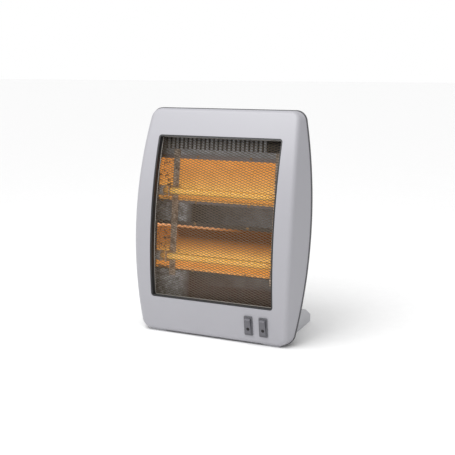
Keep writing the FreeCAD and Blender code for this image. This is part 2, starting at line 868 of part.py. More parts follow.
def tube_studs():
    studs = []
    for z in tube_rises.values():
        for side in (-1, 1):
            studs.append(rod(stud_radius, V(side * stud_inner_end(), -tube_ahead, z),
                             V(side * (cap_inner_end + cap_length + stud_out), -tube_ahead, z)))
    return Part.makeCompound(studs)


def stud_nuts():
    """Hexagon nuts on the studs, seated on the caps."""
    nuts = []
    corner = nut_across_flats / (2 * math.cos(math.pi / nut_sides))
    seat = cap_inner_end + cap_length
    for z in tube_rises.values():
        for side in (-1, 1):
            turns = [2 * math.pi * k / nut_sides for k in range(nut_sides)]
            ring = [V(side * seat, -tube_ahead + corner * math.cos(turn), z + corner * math.sin(turn))
                    for turn in turns]
            nut = Part.Face(polygon(ring)).extrude(V(side * nut_thick, 0, 0))
            nuts.append(one(nut.cut(rod(stud_radius + running_gap, V(side * (seat - overrun), -tube_ahead, z),
                                        V(side * (seat + nut_thick + overrun), -tube_ahead, z)))))
    return Part.makeCompound(nuts)


def switch_front():
    """Depth of a switch flange's front face in the switch's own frame."""
    return -switch_flange_lift - switch_flange_thick


def switch_body():
    """A rocker switch's housing: a flange on the front, a box behind it and a pocket with pivot holes."""
    flange = rounded_block(-switch_flange_half, switch_flange_half, switch_front(), -switch_flange_lift,
                           -switch_flange_half_height, switch_flange_half_height, switch_flange_corner)
    housing = box(-switch_half, switch_half, -switch_flange_lift, switch_depth,
                  -switch_half_height, switch_half_height)
    pocket = box(-pocket_half, pocket_half, switch_front() - overrun, pocket_depth,
                 -pocket_half_height, pocket_half_height)
    pin_end = pocket_half - rocker_side_gap + pivot_pin + fit_gap / 2
    pivot = rod(pivot_radius + running_gap, V(-pin_end, pivot_depth, 0), V(pin_end, pivot_depth, 0))
    return one(flange.fuse(housing).cut([pocket, pivot]))


def tipped(shape):
    """A rocker piece tipped to its rest, with its lower half pressed in."""
    moved = shape.copy()
    moved.rotate(V(0, pivot_depth, 0), V(1, 0, 0), rocker_tip_deg)
    return moved


def mark_seat():
    """The middle of a rocker's mark and the way its face looks."""
    end = pocket_half_height
    slope = (rocker_end_proud - rocker_middle_proud) / end
    z = -mark_place_share * end
    face = V(0, switch_front() - rocker_middle_proud + slope * z, z)
    outward = V(0, -1, slope)
    return face, outward.normalize()


def rocker():
    """The rocking key: a shallow V in front, round ends about its pivot, and two pivot pins."""
    end = pocket_half_height
    front = switch_front()
    profile = polygon([V(0, front - rocker_end_proud, end), V(0, front - rocker_middle_proud, 0),
                       V(0, front - rocker_end_proud, -end), V(0, pivot_depth + rocker_back, -end),
                       V(0, pivot_depth + rocker_back, end)])
    half = pocket_half - rocker_side_gap
    key = across(profile).common(rod(end - rocker_end_gap, V(-half, pivot_depth, 0), V(half, pivot_depth, 0)))
    pins = rod(pivot_radius, V(-half - pivot_pin, pivot_depth, 0), V(half + pivot_pin, pivot_depth, 0))
    face, outward = mark_seat()
    seat = rod(mark_radius + running_gap, face - outward * (mark_thick - mark_proud),
               face + outward * overrun)
    return tipped(one(key.fuse(pins).cut(seat)))


def rocker_mark():
    """The small round inlay in a rocker's lower half."""
    face, outward = mark_seat()
    back = face - outward * (mark_thick - mark_proud)
    return tipped(rod(mark_radius, back, back + outward * mark_thick))


def switch_blades():
    """The two connection blades behind each switch."""
    rise = blade_spread_share * switch_half_height
    blades = []
    for place in switch_places.values():
        for z in (-rise, rise):
            blade = box(-blade_width / 2, blade_width / 2, switch_depth, switch_depth + blade_length,
                        z - blade_thick / 2, z + blade_thick / 2)
            blades.append(at_switch(blade, place))
    return Part.makeCompound(blades)


def tip_height():
    return tip_floor + tip_chamber_height + tip_roof


def tip_depth():
    """How far behind the seam the tip-over plunger's axis lies."""
    return shield_thick + tip_ahead_wall + tip_chamber_radius


def tip_switch_body():
    """The tip-over switch's housing on the back of the heat shield, with a bore for its plunger."""
    y = tip_depth()
    low = tip_bottom
    housing = box(tip_place - tip_half_width, tip_place + tip_half_width, shield_thick,
                  y + tip_chamber_radius + tip_ahead_wall, low, low + tip_height())
    ear = tip_half_width + tip_ear
    middle = low + tip_height() / 2
    ears = box(tip_place - ear, tip_place + ear, shield_thick, shield_thick + tip_ear_thick,
               middle - tip_ear / 2, middle + tip_ear / 2)
    chamber = rod(tip_chamber_radius, V(tip_place, y, low + tip_floor),
                  V(tip_place, y, low + tip_floor + tip_chamber_height))
    neck = rod(plunger_radius + running_gap, V(tip_place, y, low - overrun), V(tip_place, y, low + tip_floor))
    holes = [rod(screw_radius + running_gap, V(x, 0, z), V(x, shield_thick + tip_ear_thick + overrun, z))
             for x, z in tip_screw_places()]
    return one(housing.fuse(ears).cut([chamber, neck] + holes))


def plunger_collar_low():
    """Height of the plunger collar's underside with the heater standing on a floor."""
    return tip_bottom + tip_floor + plunger_travel + fit_gap


def tip_plunger():
    """A round-nosed plunger held up by the floor under the heater, with a collar inside its switch."""
    y = tip_depth()
    floor_rise = plunger_floor_gap + plunger_radius - floor_gap
    nose = (floor_rise + (y + end_depth) * math.sin(lean)) / math.cos(lean)
    low = plunger_collar_low()
    stem = rod(plunger_radius, V(tip_place, y, nose), V(tip_place, y, low + plunger_collar_thick))
    ball = Part.makeSphere(plunger_radius, V(tip_place, y, nose))
    collar = rod(tip_chamber_radius - fit_gap, V(tip_place, y, low),
                 V(tip_place, y, low + plunger_collar_thick))
    return one(stem.fuse([ball, collar]))


def tip_spring():
    """The spring between the plunger's collar and the roof of its switch."""
    low = plunger_collar_low() + plunger_collar_thick + spring_wire_radius + fit_gap
    high = tip_bottom + tip_floor + tip_chamber_height - spring_wire_radius - fit_gap
    return winding(V(tip_place, tip_depth(), (low + high) / 2), V(0, 0, 1), V(1, 0, 0),
                   tip_chamber_radius - spring_inset - spring_wire_radius, (high - low) / 2, spring_turns, 0,
                   spring_wire_radius)


def shield_screws():
    """Screws through the heat shield that hold the tip-over switch and the thermal cut-out behind it."""
    length = shield_thick + tip_ear_thick
    places = list(tip_screw_places()) + list(cutout_screw_places())
    return Part.makeCompound([headed_screw(V(x, 0, z), V(0, 1, 0), length) for x, z in places])


def thermal_cutout():
    """A round thermal cut-out clamped to the back of the heat shield by its oval plate."""
    plate = rounded_block(cutout_place - cutout_flange_half, cutout_place + cutout_flange_half, shield_thick,
                          shield_thick + cutout_flange_thick, cutout_rise - cutout_flange_half_height,
                          cutout_rise + cutout_flange_half_height, cutout_flange_half_height / 2)
    body = rod(cutout_radius, V(cutout_place, shield_thick, cutout_rise),
               V(cutout_place, shield_thick + cutout_height, cutout_rise))
    holes = [rod(screw_radius + running_gap, V(x, 0, z), V(x, overrun, z)) for x, z in cutout_screw_places()]
    return one(plate.fuse(body).cut(holes))


def cutout_blades():
    """The two connection blades of the thermal cut-out."""
    back = shield_thick + cutout_height
    blades = []
    for side in (-1, 1):
        x = cutout_place + side * cutout_blade_gap / 2
        blades.append(box(x - blade_thick / 2, x + blade_thick / 2, back, back + blade_length,
                          cutout_rise - blade_width / 2, cutout_rise + blade_width / 2))
    return Part.makeCompound(blades)


def foot_screw_places():
    """Where the foot screws rise into the back cover, and the cover's underside there."""
    middle = foot_outer - foot_width / 2
    climb = math.tan(math.radians(cover_bottom_slope_deg))
    under = seam_bottom + cover_lip * level_rise + cover_step + (foot_screw_back - cover_lip) * climb
    for side in (-1, 1):
        for shift in (-foot_screw_spread, foot_screw_spread):
            yield side * (middle + shift), under


def back_cover():
    """The dark shell behind: a collar at the seam, a tapering back with louvres, a finger grip and posts."""
    outer = cover_form(0, cover_lip)
    grip = rounded_block(-grip_half, grip_half, cover_depth - grip_depth, cover_depth + overrun,
                         grip_bottom, grip_top, grip_corner)
    grip_wall = rounded_block(-grip_half - casing_wall, grip_half + casing_wall,
                              cover_depth - grip_depth - casing_wall, cover_depth + overrun,
                              grip_bottom - casing_wall, grip_top + casing_wall, grip_corner + casing_wall)
    hollow = cover_form(casing_wall, -overrun).cut(grip_wall)
    shell = outer.fuse(cover_lip_form()).cut([hollow, grip])
    posts = [rod(boss_radius, V(x, shield_thick, z), V(x, reach, z)).common(outer) for x, z in post_places]
    for x, low in foot_screw_places():
        post = rod(boss_radius, V(x, foot_screw_back, low), V(x, foot_screw_back, low + foot_boss_height))
        posts.append(post.common(outer))
    shell = shell.fuse(posts)
    cuts = [rod(screw_radius + fit_gap, V(x, -overrun, z), V(x, reach, z)) for x, z in post_places]
    cuts += [rod(screw_head_radius + counterbore_gap, V(x, cover_screw_sink, z), V(x, reach, z))
             for x, z in post_places]
    cuts += [rod(screw_radius + running_gap, V(x, foot_screw_back, -overrun),
                 V(x, foot_screw_back, low + foot_screw_length)) for x, low in foot_screw_places()]
    half = louvre_length / 2
    for column in louvre_columns:
        for row in range(louvre_rows):
            z = louvre_bottom + row * louvre_pitch
            cuts.append(rounded_block(column - half, column + half, cover_depth - casing_wall - overrun,
                                      cover_depth + overrun, z, z + louvre_height,
                                      louvre_corner_share * louvre_height))
    cuts.append(rod(gland_neck_radius + fit_gap,
                    V(gland_place, cover_depth - casing_wall - overrun, gland_rise),
                    V(gland_place, cover_depth + overrun, gland_rise)))
    cuts.append(rod(plunger_radius + plunger_hole_gap, V(tip_place, tip_depth(), -overrun),
                    V(tip_place, tip_depth(), tip_bottom - overrun)))
    return one(shell.cut(cuts))


def cover_screws():
    """The long screws that clamp back cover, heat shield and front together."""
    return Part.makeCompound([headed_screw(V(x, cover_screw_sink, z), V(0, -1, 0), cover_screw_length)
                              for x, z in post_places])


def cord_gland():
    """The bush in the back cover where a cord would come out, flanged on both sides of the wall."""
    inside = cover_depth - casing_wall
    start = V(gland_place, inside - gland_flange_thick, gland_rise)
    end = V(gland_place, cover_depth + gland_flange_thick, gland_rise)
    step = V(0, gland_flange_thick, 0)
    bush = rod(gland_neck_radius, start, end)
    bush = bush.fuse([rod(gland_flange_radius, start, start + step),
                      rod(gland_flange_radius, end - step, end)])
    way = V(0, overrun, 0)
    return one(bush.cut(rod(gland_bore_radius, start - way, end + way)))


def block_poles():
    return [block_place + k * block_pole_pitch for k in (-1, 0, 1)]


def terminal_block():
    """The three-pole block inside the back cover: a way through each pole and a screw hole in front of it."""
    back = cover_depth - casing_wall
    block = rounded_block(block_place - block_half_width, block_place + block_half_width, back - block_depth,
                          back, block_rise - block_half_height, block_rise + block_half_height,
                          block_corner_share * block_half_height)
    middle = back - block_way_share * block_depth
    ways = [rod(block_way_radius, V(x, middle, block_rise - block_half_height - overrun),
                V(x, middle, block_rise + block_half_height + overrun)) for x in block_poles()]
    holes = [rod(block_screw_radius + running_gap, V(x, back - block_depth - overrun, block_rise),
                 V(x, middle, block_rise)) for x in block_poles()]
    return one(block.cut(ways + holes))


def block_screws():
    front = cover_depth - casing_wall - block_depth
    back = front + block_screw_length
    return Part.makeCompound([rod(block_screw_radius, V(x, front, block_rise), V(x, back, block_rise))
                              for x in block_poles()])


def foot_profile(inset):
    """A foot's side outline, drawn beside the floor; the inset shrinks it but leaves its sole open."""
    low = -overrun if inset else 0
    back = foot_back - inset
    shoulder = foot_back - foot_shoulder_back
    heel = to_heel()
    tongue = floor_gap - fit_gap
    points = [(foot_front, low), (back, low), (back, foot_back_height - inset),
              (shoulder, foot_shoulder_height - inset), (heel, foot_heel_height - inset),
              (foot_wedge_front, foot_heel_height - inset), (foot_wedge_front, tongue), (foot_front, tongue)]
    if inset:
        points = [(heel - foot_wall, low)] + points[1:5] + [(heel - foot_wall, foot_heel_height - inset)]
    return polygon([V(0, *to_casing(y, z)) for y, z in points])


def to_heel():
    """How far back, beside the floor, the back cover's rear wall meets the top of a foot."""
    return (cover_depth + end_depth) / math.cos(lean) + foot_heel_height * level_rise


def foot(side):
    """A hollow foot: a thin tongue under the front, a wedge under the back cover and a heel behind it."""
    inner, outer = foot_outer - foot_width, foot_outer
    block = across(foot_profile(0)).common(box(inner, outer, -reach, reach, -reach, reach))
    block = block.cut(cover_form(-fit_gap, cover_lip - overrun))
    hollow = across(foot_profile(foot_wall)).common(
        box(inner + foot_wall, outer - foot_wall, -reach, reach, -reach, reach))
    hollow = hollow.cut(cover_form(-fit_gap - foot_wall, cover_lip - overrun))
    cuts = [hollow]
    for x, under in foot_screw_places():
        if x > 0:
            sink = under - fit_gap - foot_screw_sink
            deep, seat = V(x, foot_screw_back, -reach), V(x, foot_screw_back, sink)
            cuts.append(rod(screw_radius + fit_gap, deep, V(x, foot_screw_back, reach)))
            cuts.append(rod(screw_head_radius + counterbore_gap, deep, seat))
    piece = one(block.cut(cuts))
    return piece if side > 0 else piece.mirror(V(0, 0, 0), V(1, 0, 0))


def foot_screws():
    return Part.makeCompound([
        headed_screw(V(x, foot_screw_back, under - fit_gap - foot_screw_sink), V(0, 0, 1), foot_screw_length)
        for x, under in foot_screw_places()])


def routed(points):
    """A wire's path: straight runs between the points, joined by arcs as large as the runs allow."""
    edges, last = [], points[0]
    for before, corner, after in zip(points, points[1:], points[2:]):
        back, on = before - corner, after - corner
        trim = bend_share * min(back.Length, on.Length)
        near = corner + back * (trim / back.Length)
        far = corner + on * (trim / on.Length)
        edges += [line(last, near), tangent_arc(near, corner, far)]
        last = far
    return Part.Wire(edges + [line(last, points[-1])])


def blade_end(place, rise_sign):
    """Where a switch blade ends, and the way it points."""
    z = rise_sign * blade_spread_share * switch_half_height
    tip = at_switch(Part.Vertex(V(0, switch_depth + blade_length, z)), place).Point
    further = at_switch(Part.Vertex(V(0, switch_depth + blade_length + wire_stub, z)), place).Point
    return tip, further


def stud_end(side, z):
    """Where a tube's stud ends, and a point straight out from it."""
    x = cap_inner_end + cap_length + stud_out
    return V(side * x, -tube_ahead, z), V(side * (x + wire_stub), -tube_ahead, z)


def cutout_end(side):
    """Where a blade of the thermal cut-out ends, and a point straight behind it."""
    x = cutout_place + side * cutout_blade_gap / 2
    y = shield_thick + cutout_height + blade_length
    return V(x, y, cutout_rise), V(x, y + wire_stub, cutout_rise)


def block_end(pole, rise_sign):
    """Where a wire ends inside a pole of the terminal block, and a point straight out from it."""
    y = cover_depth - casing_wall - block_way_share * block_depth
    z = block_rise + rise_sign * block_half_height / 2
    x = block_poles()[pole]
    return V(x, y, z), V(x, y, z + rise_sign * (wire_stub + block_half_height))


def tip_end(side):
    """Where a wire leaves the roof of the tip-over switch, and a point straight above it."""
    x = tip_place + side * tip_half_width / 2
    z = tip_bottom + tip_height()
    return V(x, tip_depth(), z), V(x, tip_depth(), z + wire_stub)


def wires():
    """The insulated wires between block, switches, tubes, thermal cut-out and tip-over switch.

    Each runs straight out of its two ends and through a few chosen points between them, which are shares of
    the casing's half width, the back cover's depth inside and the casing's height.
    """
    span = (seam_end_half, cover_depth - casing_wall, body_height)
    low, high = lower_tube_rise, upper_tube_rise
    left, right = left_switch_place, right_switch_place
    routes = {
        "left_feed_wire": (block_end(2, 1), left_feed_shares, blade_end(left, 1)),
        "right_feed_wire": (block_end(2, -1), right_feed_shares, blade_end(right, 1)),
        "lower_tube_wire": (blade_end(left, -1), lower_tube_shares, stud_end(1, low)),
        "upper_tube_wire": (blade_end(right, -1), upper_tube_shares, stud_end(1, high)),
        "upper_return_wire": (stud_end(-1, high), upper_return_shares, cutout_end(-1)),
        "cutout_wire": (cutout_end(1), cutout_shares, block_end(1, 1)),
        "lower_return_wire": (stud_end(-1, low), lower_return_shares, tip_end(-1)),
        "tip_wire": (tip_end(1), tip_shares, block_end(1, -1)),
    }
    made = {}
    for name, (start, between, end) in routes.items():
        through = [V(*[share * size for share, size in zip(point, span)]) for point in between]
        points = [start[0], start[1]] + through + [end[1], end[0]]
        made[name] = swept(routed(points), wire_radius)
    return made


def heater():
    """Every piece of the heater in the casing's frame, by name."""
    pieces = {
        "front_bezel": front_bezel(),
        "grille_frame": grille_frame(),
        "grille_mesh": grille_mesh(),
        "heat_shield": heat_shield(),
        "upper_reflector": drilled_reflector("upper"),
        "lower_reflector": drilled_reflector("lower"),
        "reflector_rivets": reflector_rivets(),
        "left_tube_bracket": tube_bracket(-1),
        "right_tube_bracket": tube_bracket(1),
        "bracket_screws": bracket_screws(),
        "tube_studs": tube_studs(),
        "stud_nuts": stud_nuts(),
        "switch_blades": switch_blades(),
        "tip_switch_body": tip_switch_body(),
        "tip_plunger": tip_plunger(),
        "tip_spring": tip_spring(),
        "shield_screws": shield_screws(),
        "thermal_cutout": thermal_cutout(),
        "cutout_blades": cutout_blades(),
        "back_cover": back_cover(),
        "cover_screws": cover_screws(),
        "cord_gland": cord_gland(),
        "terminal_block": terminal_block(),
        "block_screws": block_screws(),
        "left_foot": foot(-1),
        "right_foot": foot(1),
        "foot_screws": foot_screws(),
    }
    for name, z in tube_rises.items():
        pieces[name + "_quartz_tube"] = quartz_tube(z)
        pieces[name + "_heating_coil"] = heating_coil(z)
        pieces[name + "_left_cap"] = tube_cap(-1, z)
        pieces[name + "_right_cap"] = tube_cap(1, z)
    for name, place in switch_places.items():
        pieces[name + "_switch_body"] = at_switch(switch_body(), place)
        pieces[name + "_rocker"] = at_switch(rocker(), place)
        pieces[name + "_rocker_mark"] = at_switch(rocker_mark(), place)
    pieces.update(wires())
    return pieces


def stand(pieces):
    """Leans the pieces back and puts the middle of the heater's footprint at the origin."""
    for shape in pieces.values():
        shape.rotate(V(0, 0, 0), V(1, 0, 0), -lean_deg)
    whole = Part.makeCompound(list(pieces.values())).optimalBoundingBox()
    shift = V(-whole.Center.x, -whole.Center.y, -whole.ZMin)
    for shape in pieces.values():
        shape.translate(shift)
    return shift


def main():
    os.makedirs("parts", exist_ok=True)
    pieces = heater()
    shift = stand(pieces)
    for name, shape in pieces.items():
        shape.exportStep("parts/" + name + ".step")
    leaning = FreeCAD.Rotation(V(1, 0, 0), -lean_deg)

    def placed(point):
        return [round(c, 4) for c in leaning.multVec(point) + shift]

    for name, place in switch_places.items():
        pivot = at_switch(Part.Vertex(V(0, pivot_depth, 0)), place).Point
        print(name, "rocker pivot", placed(pivot))
    print("plunger axis at", placed(V(tip_place, tip_depth(), 0)))
    print("gland bore at", placed(V(gland_place, cover_depth, gland_rise)))
    print("casing upright", [round(c, 6) for c in leaning.multVec(V(0, 0, 1))])
    print("casing origin at", placed(V(0, 0, 0)))


main()
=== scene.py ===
"""Looks for a free-standing quartz heater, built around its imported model.

Laid out as a Blender add-on and run as a script. Metres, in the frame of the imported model.
"""
import functools
import json
import math

import bpy
import numpy as np
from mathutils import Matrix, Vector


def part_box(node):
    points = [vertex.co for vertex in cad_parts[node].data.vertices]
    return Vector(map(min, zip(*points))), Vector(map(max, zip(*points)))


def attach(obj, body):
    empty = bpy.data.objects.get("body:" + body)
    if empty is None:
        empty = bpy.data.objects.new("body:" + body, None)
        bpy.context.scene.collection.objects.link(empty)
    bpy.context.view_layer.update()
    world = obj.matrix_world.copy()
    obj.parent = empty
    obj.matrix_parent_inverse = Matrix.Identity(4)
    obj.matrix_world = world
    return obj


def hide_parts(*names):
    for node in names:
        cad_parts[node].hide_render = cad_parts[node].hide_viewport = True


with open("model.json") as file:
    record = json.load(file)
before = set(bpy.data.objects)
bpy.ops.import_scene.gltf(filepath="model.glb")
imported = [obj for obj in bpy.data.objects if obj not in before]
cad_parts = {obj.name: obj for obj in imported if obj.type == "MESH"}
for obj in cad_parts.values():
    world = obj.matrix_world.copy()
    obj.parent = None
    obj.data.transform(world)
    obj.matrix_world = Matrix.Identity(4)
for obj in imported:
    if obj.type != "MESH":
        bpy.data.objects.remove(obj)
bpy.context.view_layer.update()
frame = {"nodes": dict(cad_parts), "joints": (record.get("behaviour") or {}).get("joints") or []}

bl_info = {
    "name": "Quartz heater looks",
    "version": (1, 0, 0),
    "blender": (4, 5, 0),
    "location": "View3D > Sidebar > Heater",
    "description": "Dresses the packed quartz heater: guard net, glowing coils, louvre slats and finishes",
    "category": "Add Mesh",
}


def tube_axis(name):
    """Depth and height of a tube's axis, which runs level across the heater."""
    low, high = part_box(name + "_quartz_tube")
    return (low.y + high.y) / 2, (low.z + high.z) / 2


slide = next(joint for joint in frame["joints"] if joint["name"] == "tip_plunger_slide")
lean = math.atan2(slide["axis"][1], slide["axis"][2])
upper_tube, lower_tube = tube_axis("upper"), tube_axis("lower")


# Properties


def size(name, description, default):
    return bpy.props.FloatProperty(name=name, description=description, default=default, unit="LENGTH",
                                   precision=5)


def span(name, description, default):
    return bpy.props.FloatVectorProperty(name=name, description=description, default=default, unit="LENGTH",
                                         precision=5, size=2)


def place(name, description, default):
    return bpy.props.FloatVectorProperty(name=name, description=description, default=default,
                                         subtype="TRANSLATION", size=3)


def turn(name, description, tilt, heading):
    return bpy.props.FloatVectorProperty(name=name, description=description, unit="ROTATION", size=2,
                                         default=(math.radians(tilt), math.radians(heading)))


def number(name, description, default):
    return bpy.props.FloatProperty(name=name, description=description, default=default, min=0)


def share(name, description, default):
    return bpy.props.FloatProperty(name=name, description=description, default=default, subtype="FACTOR",
                                   min=0, max=1)


def count(name, description, default):
    return bpy.props.IntProperty(name=name, description=description, default=default, min=1)


def colour(name, description, default):
    return bpy.props.FloatVectorProperty(name=name, description=description, default=default,
                                         subtype="COLOR", size=3, min=0, max=1)


class HeaterSizes(bpy.types.PropertyGroup):
    """Sizes in the casing's own frame: X right, Y back from the seam, Z up the casing."""
    body_height: size("Body height", "Height of the casing", 0.3552)
    end_depth: size("End depth", "Depth of the front at its top and bottom", 0.0125)
    front_bulge: size("Front bulge", "How much deeper the front is half way up", 0.0285)
    window_half: size("Window half width", "Half the width of the window", 0.1035)
    window_bottom: size("Window bottom", "Lower edge of the window", 0.0569)
    window_top: size("Window top", "Upper edge of the window", 0.3135)
    tube_ahead: size("Tube ahead", "Tube axes in front of the seam", 0.009)
    upper_tube_share: share("Upper tube", "Height of the upper tube in the window, as a share", 0.6575)
    net_margin: size("Net margin", "From the window's edge to the diamond field", 0.0033)
    net_inset: size("Net inset", "Middle of the net behind the front's surface", 0.0105)
    net_columns: count("Net columns", "Diamonds across the net", 21)
    net_rows: count("Net rows", "Diamonds up the net", 63)
    net_strand: size("Net strand", "Width of a strand of the net", 0.00066)
    net_thick: size("Net thickness", "Thickness of the net's sheet", 0.0006)
    net_twist: size("Net twist", "How far a gap's upper corner stands ahead, and its lower one back", 0.00035)
    net_border: size("Net border", "Width of the plain strip round the net", 0.0016)
    border_thick: size("Border thickness", "Thickness of that strip", 0.00084)
    border_steps: count("Border steps", "Steps along each side of that strip", 60)
    trough_lip: size("Trough lip", "Height of the flat lips of a trough", 0.006)
    coil_half: size("Coil half length", "Half the length of a heating coil before its ends draw in", 0.095)
    coil_radius: size("Coil radius", "Radius of a heating coil", 0.0036)
    coil_wire: size("Coil wire", "Radius of the heating wire", 0.00035)
    coil_lead: size("Coil lead", "Straight lead at each end of a coil", 0.003)
    coil_turns: count("Coil turns", "Turns of a heating coil", 110)
    spring_turns: count("Spring turns", "Turns of the tip-over spring", 5)
    spring_wire: size("Spring wire", "Radius of the tip-over spring's wire", 0.0004)
    cover_depth: size("Cover depth", "Back face of the cover behind the seam", 0.042)
    cover_wall: size("Cover wall", "Wall of the back cover", 0.0025)
    louvre_low: size("First louvre", "Lower edge of the lowest louvre", 0.112)
    louvre_pitch: size("Louvre pitch", "Rise from one louvre to the next", 0.009)
    louvre_height: size("Louvre height", "Height of a louvre", 0.003)
    louvre_length: size("Louvre length", "Length of a louvre", 0.052)
    louvre_spread: size("Louvre spread", "Distance between the louvre columns", 0.074)
    louvre_rows: count("Louvre rows", "Louvres in each column", 11)
    slat_reach: size("Slat reach", "How far a slat reaches inwards", 0.0045)
    slat_drop: size("Slat drop", "How far a slat falls on its way in", 0.0042)
    slat_thick: size("Slat thickness", "Thickness of a slat", 0.0011)
    grain_depth: size("Grain depth", "Depth of the fine grain on plastic and metal", 0.0003)


class HeaterColours(bpy.types.PropertyGroup):
    """Colours of the finishes."""
    bezel: colour("Front", "Light grey plastic of the front", (0.34, 0.337, 0.363))
    # Painted light: the feet are the front's plastic, made paler to make up for the shade they stand in.
    foot_painted_light: colour("Feet", "Light grey plastic of the feet", (0.47, 0.47, 0.495))
    rim: colour("Rim", "Black plastic of the window's rim", (0.015, 0.015, 0.016))
    cover: colour("Cover", "Dark plastic of the back cover", (0.045, 0.045, 0.05))
    net: colour("Guard net", "Steel of the guard net", (0.108, 0.090, 0.070))
    # Painted highlight: the strip round the net is made pale where it would catch the light.
    border: colour("Guard border", "Plain strip round the guard net", (0.50, 0.47, 0.43))
    shield: colour("Heat shield", "Steel of the heat shield", (0.32, 0.33, 0.345))
    bracket: colour("Brackets", "Steel of the tube brackets", (0.34, 0.29, 0.24))
    # Partly painted reflection: polished aluminium, tinted orange by the glow it would reflect.
    aluminium_and_glow: colour("Reflectors", "Polished aluminium of the troughs", (0.34, 0.20, 0.09))
    upper_lip: colour("Upper lips", "Flat lips of the upper trough", (0.24, 0.21, 0.21))
    lower_lip: colour("Lower lips", "Flat lips of the lower trough", (0.11, 0.09, 0.075))
    glow: colour("Reflected glow", "Warm light on the troughs, away from the tubes", (0.60, 0.235, 0.045))
    ember: colour("Dim glow", "Redder light on the lower trough, away from its tube", (0.60, 0.18, 0.018))
    flare: colour("Near glow", "Warm light on the troughs, beside the tubes", (0.72, 0.37, 0.07))
    edge_glow: colour("Edge glow", "Warm light on the lower trough's upper edge", (0.62, 0.29, 0.13))
    # Painted shade: the troughs' sheet darkens to this where their painted light is dim, and at the scorched
    # flecks.
    scorched_and_shaded: colour("Browned", "Troughs where heat has browned them", (0.05, 0.017, 0.006))
    # Painted shade: the heat shield darkens to this between the troughs and below them.
    painted_shade: colour("Soot", "Heat shield where heat has dulled it", (0.014, 0.011, 0.008))
    # Painted shade: below the lower trough the shield's shade is reddened to this in patches.
    shadowed: colour("Burnt", "Patches of the heat shield below the lower trough", (0.10, 0.022, 0.008))
    tube: colour("Tube glow", "Glow of the quartz tubes", (0.95, 0.72, 0.19))
    coil: colour("Coil glow", "Glow of the heating wire", (1.0, 0.67, 0.16))
    dull_red: colour("Dull red", "Glow of the tubes' and coils' ends", (0.10, 0.012, 0.002))
    quartz: colour("Quartz", "Tint of the quartz itself", (1.0, 0.84, 0.58))
    wire: colour("Heating wire", "Heating wire without its glow", (0.2, 0.12, 0.08))
    ceramic: colour("Ceramic", "Ceramic caps and cut-out", (0.62, 0.59, 0.54))
    steel: colour("Fixings", "Steel of screws and spring", (0.50, 0.50, 0.51))
    brass: colour("Terminals", "Brass of studs, nuts and blades", (0.66, 0.50, 0.22))
    switch: colour("Switch", "Grey plastic of the switch housings", (0.10, 0.10, 0.11))
    rocker: colour("Rocker", "Grey plastic of the rockers", (0.108, 0.106, 0.12))
    mark: colour("Mark", "Dark red inlay in the rockers", (0.004, 0.0015, 0.002))
    block: colour("Terminal block", "Pale plastic of the terminal block", (0.66, 0.64, 0.58))
    plunger: colour("Plunger", "Pale plastic of the tip-over plunger", (0.58, 0.58, 0.56))
    rubber: colour("Rubber", "Black rubber of the cord gland", (0.022, 0.022, 0.022))
    live: colour("Live wires", "Brown insulation", (0.20, 0.075, 0.03))
    neutral: colour("Neutral wires", "Blue insulation", (0.035, 0.09, 0.28))
    floor: colour("Floor", "Pale floor", (0.86, 0.86, 0.86))


class HeaterZones(bpy.types.PropertyGroup):
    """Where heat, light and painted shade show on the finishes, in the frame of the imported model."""
    light_fade: span("Light fade", "Where the tubes' light fades, from the middle", (0.072, 0.118))
    heat_fade: span("Heat fade", "Where tubes and coils cool, from the middle", (0.075, 0.103))
    trough_fade: span("Trough fade", "Where the troughs darken, from the middle", (0.08, 0.113))
    trough_ends: span("Trough ends", "Where a trough's scorched ends start, from the middle", (0.082, 0.092))
    glow_drop: size("Glow drop", "Brightest height of a trough below its tube's axis", 0.003)
    under_tube: span("Under tube", "Where a trough brightens, up from its tube's axis", (-0.016, -0.004))
    edge_band: span("Edge band", "Lit band of a trough's upper edge, down from its lip", (0.0065, 0.0045))
    edge_fade: span("Edge fade", "Where the lit edge fades, across the heater", (-0.02, 0.035))
    # Bounds of the painted shade on the heat shield, between and below the troughs.
    shade_side: span("Soot side", "Where soot on the shield starts, across the heater", (-0.068, -0.05))
    shade_top: span("Soot top", "Where soot on the shield starts, up the heater", (0.288, 0.276))
    shade_fade: span("Soot fade", "Where soot on the shield thins, across the heater", (-0.05, 0.09))
    shadow_drop: size("Burnt drop", "The shield is fully burnt this far below the lower trough", 0.02)


class HeaterStage(bpy.types.PropertyGroup):
    """Floor, lights and camera."""
    floor_half: size("Floor", "Half the width of the floor", 20.0)
    sky_light: number("Sky light", "Strength of the light from all round", 0.6)
    sky_seen: number("Sky seen", "Strength of the sky as the camera sees it", 1.0)
    sun_power: number("Sun power", "Strength of the soft sun", 2.0)
    sun_place: place("Sun place", "Where the soft sun is drawn", (0, 0, 2))
    sun_turn: turn("Sun turn", "Tilt and turn of the soft sun", 30, -14)
    sun_spread: bpy.props.FloatProperty(name="Sun spread", description="How wide the soft sun looks",
                                        default=math.radians(70), unit="ROTATION")
    box_power: number("Box power", "Watts of the soft box", 4.0)
    box_place: place("Box place", "Where the soft box hangs", (-0.12, -0.55, 1.0))
    box_turn: turn("Box turn", "Tilt and turn of the soft box", 36, -12)
    box_width: size("Box width", "Width of the soft box", 0.6)
    camera_place: place("Camera place", "Where the camera stands", (0.5237, -1.18624, 0.4210))
    camera_turn: turn("Camera turn", "Tilt and turn of the camera", 78.859, 24.0075)
    lens: number("Lens", "Focal length in millimetres", 65.12)
    sensor: number("Sensor", "Width of the camera's sensor in millimetres", 36.0)


def sizes():
    return bpy.context.scene.heater_sizes


def colours():
    return bpy.context.scene.heater_colours


def zones():
    return bpy.context.scene.heater_zones


# Shapes


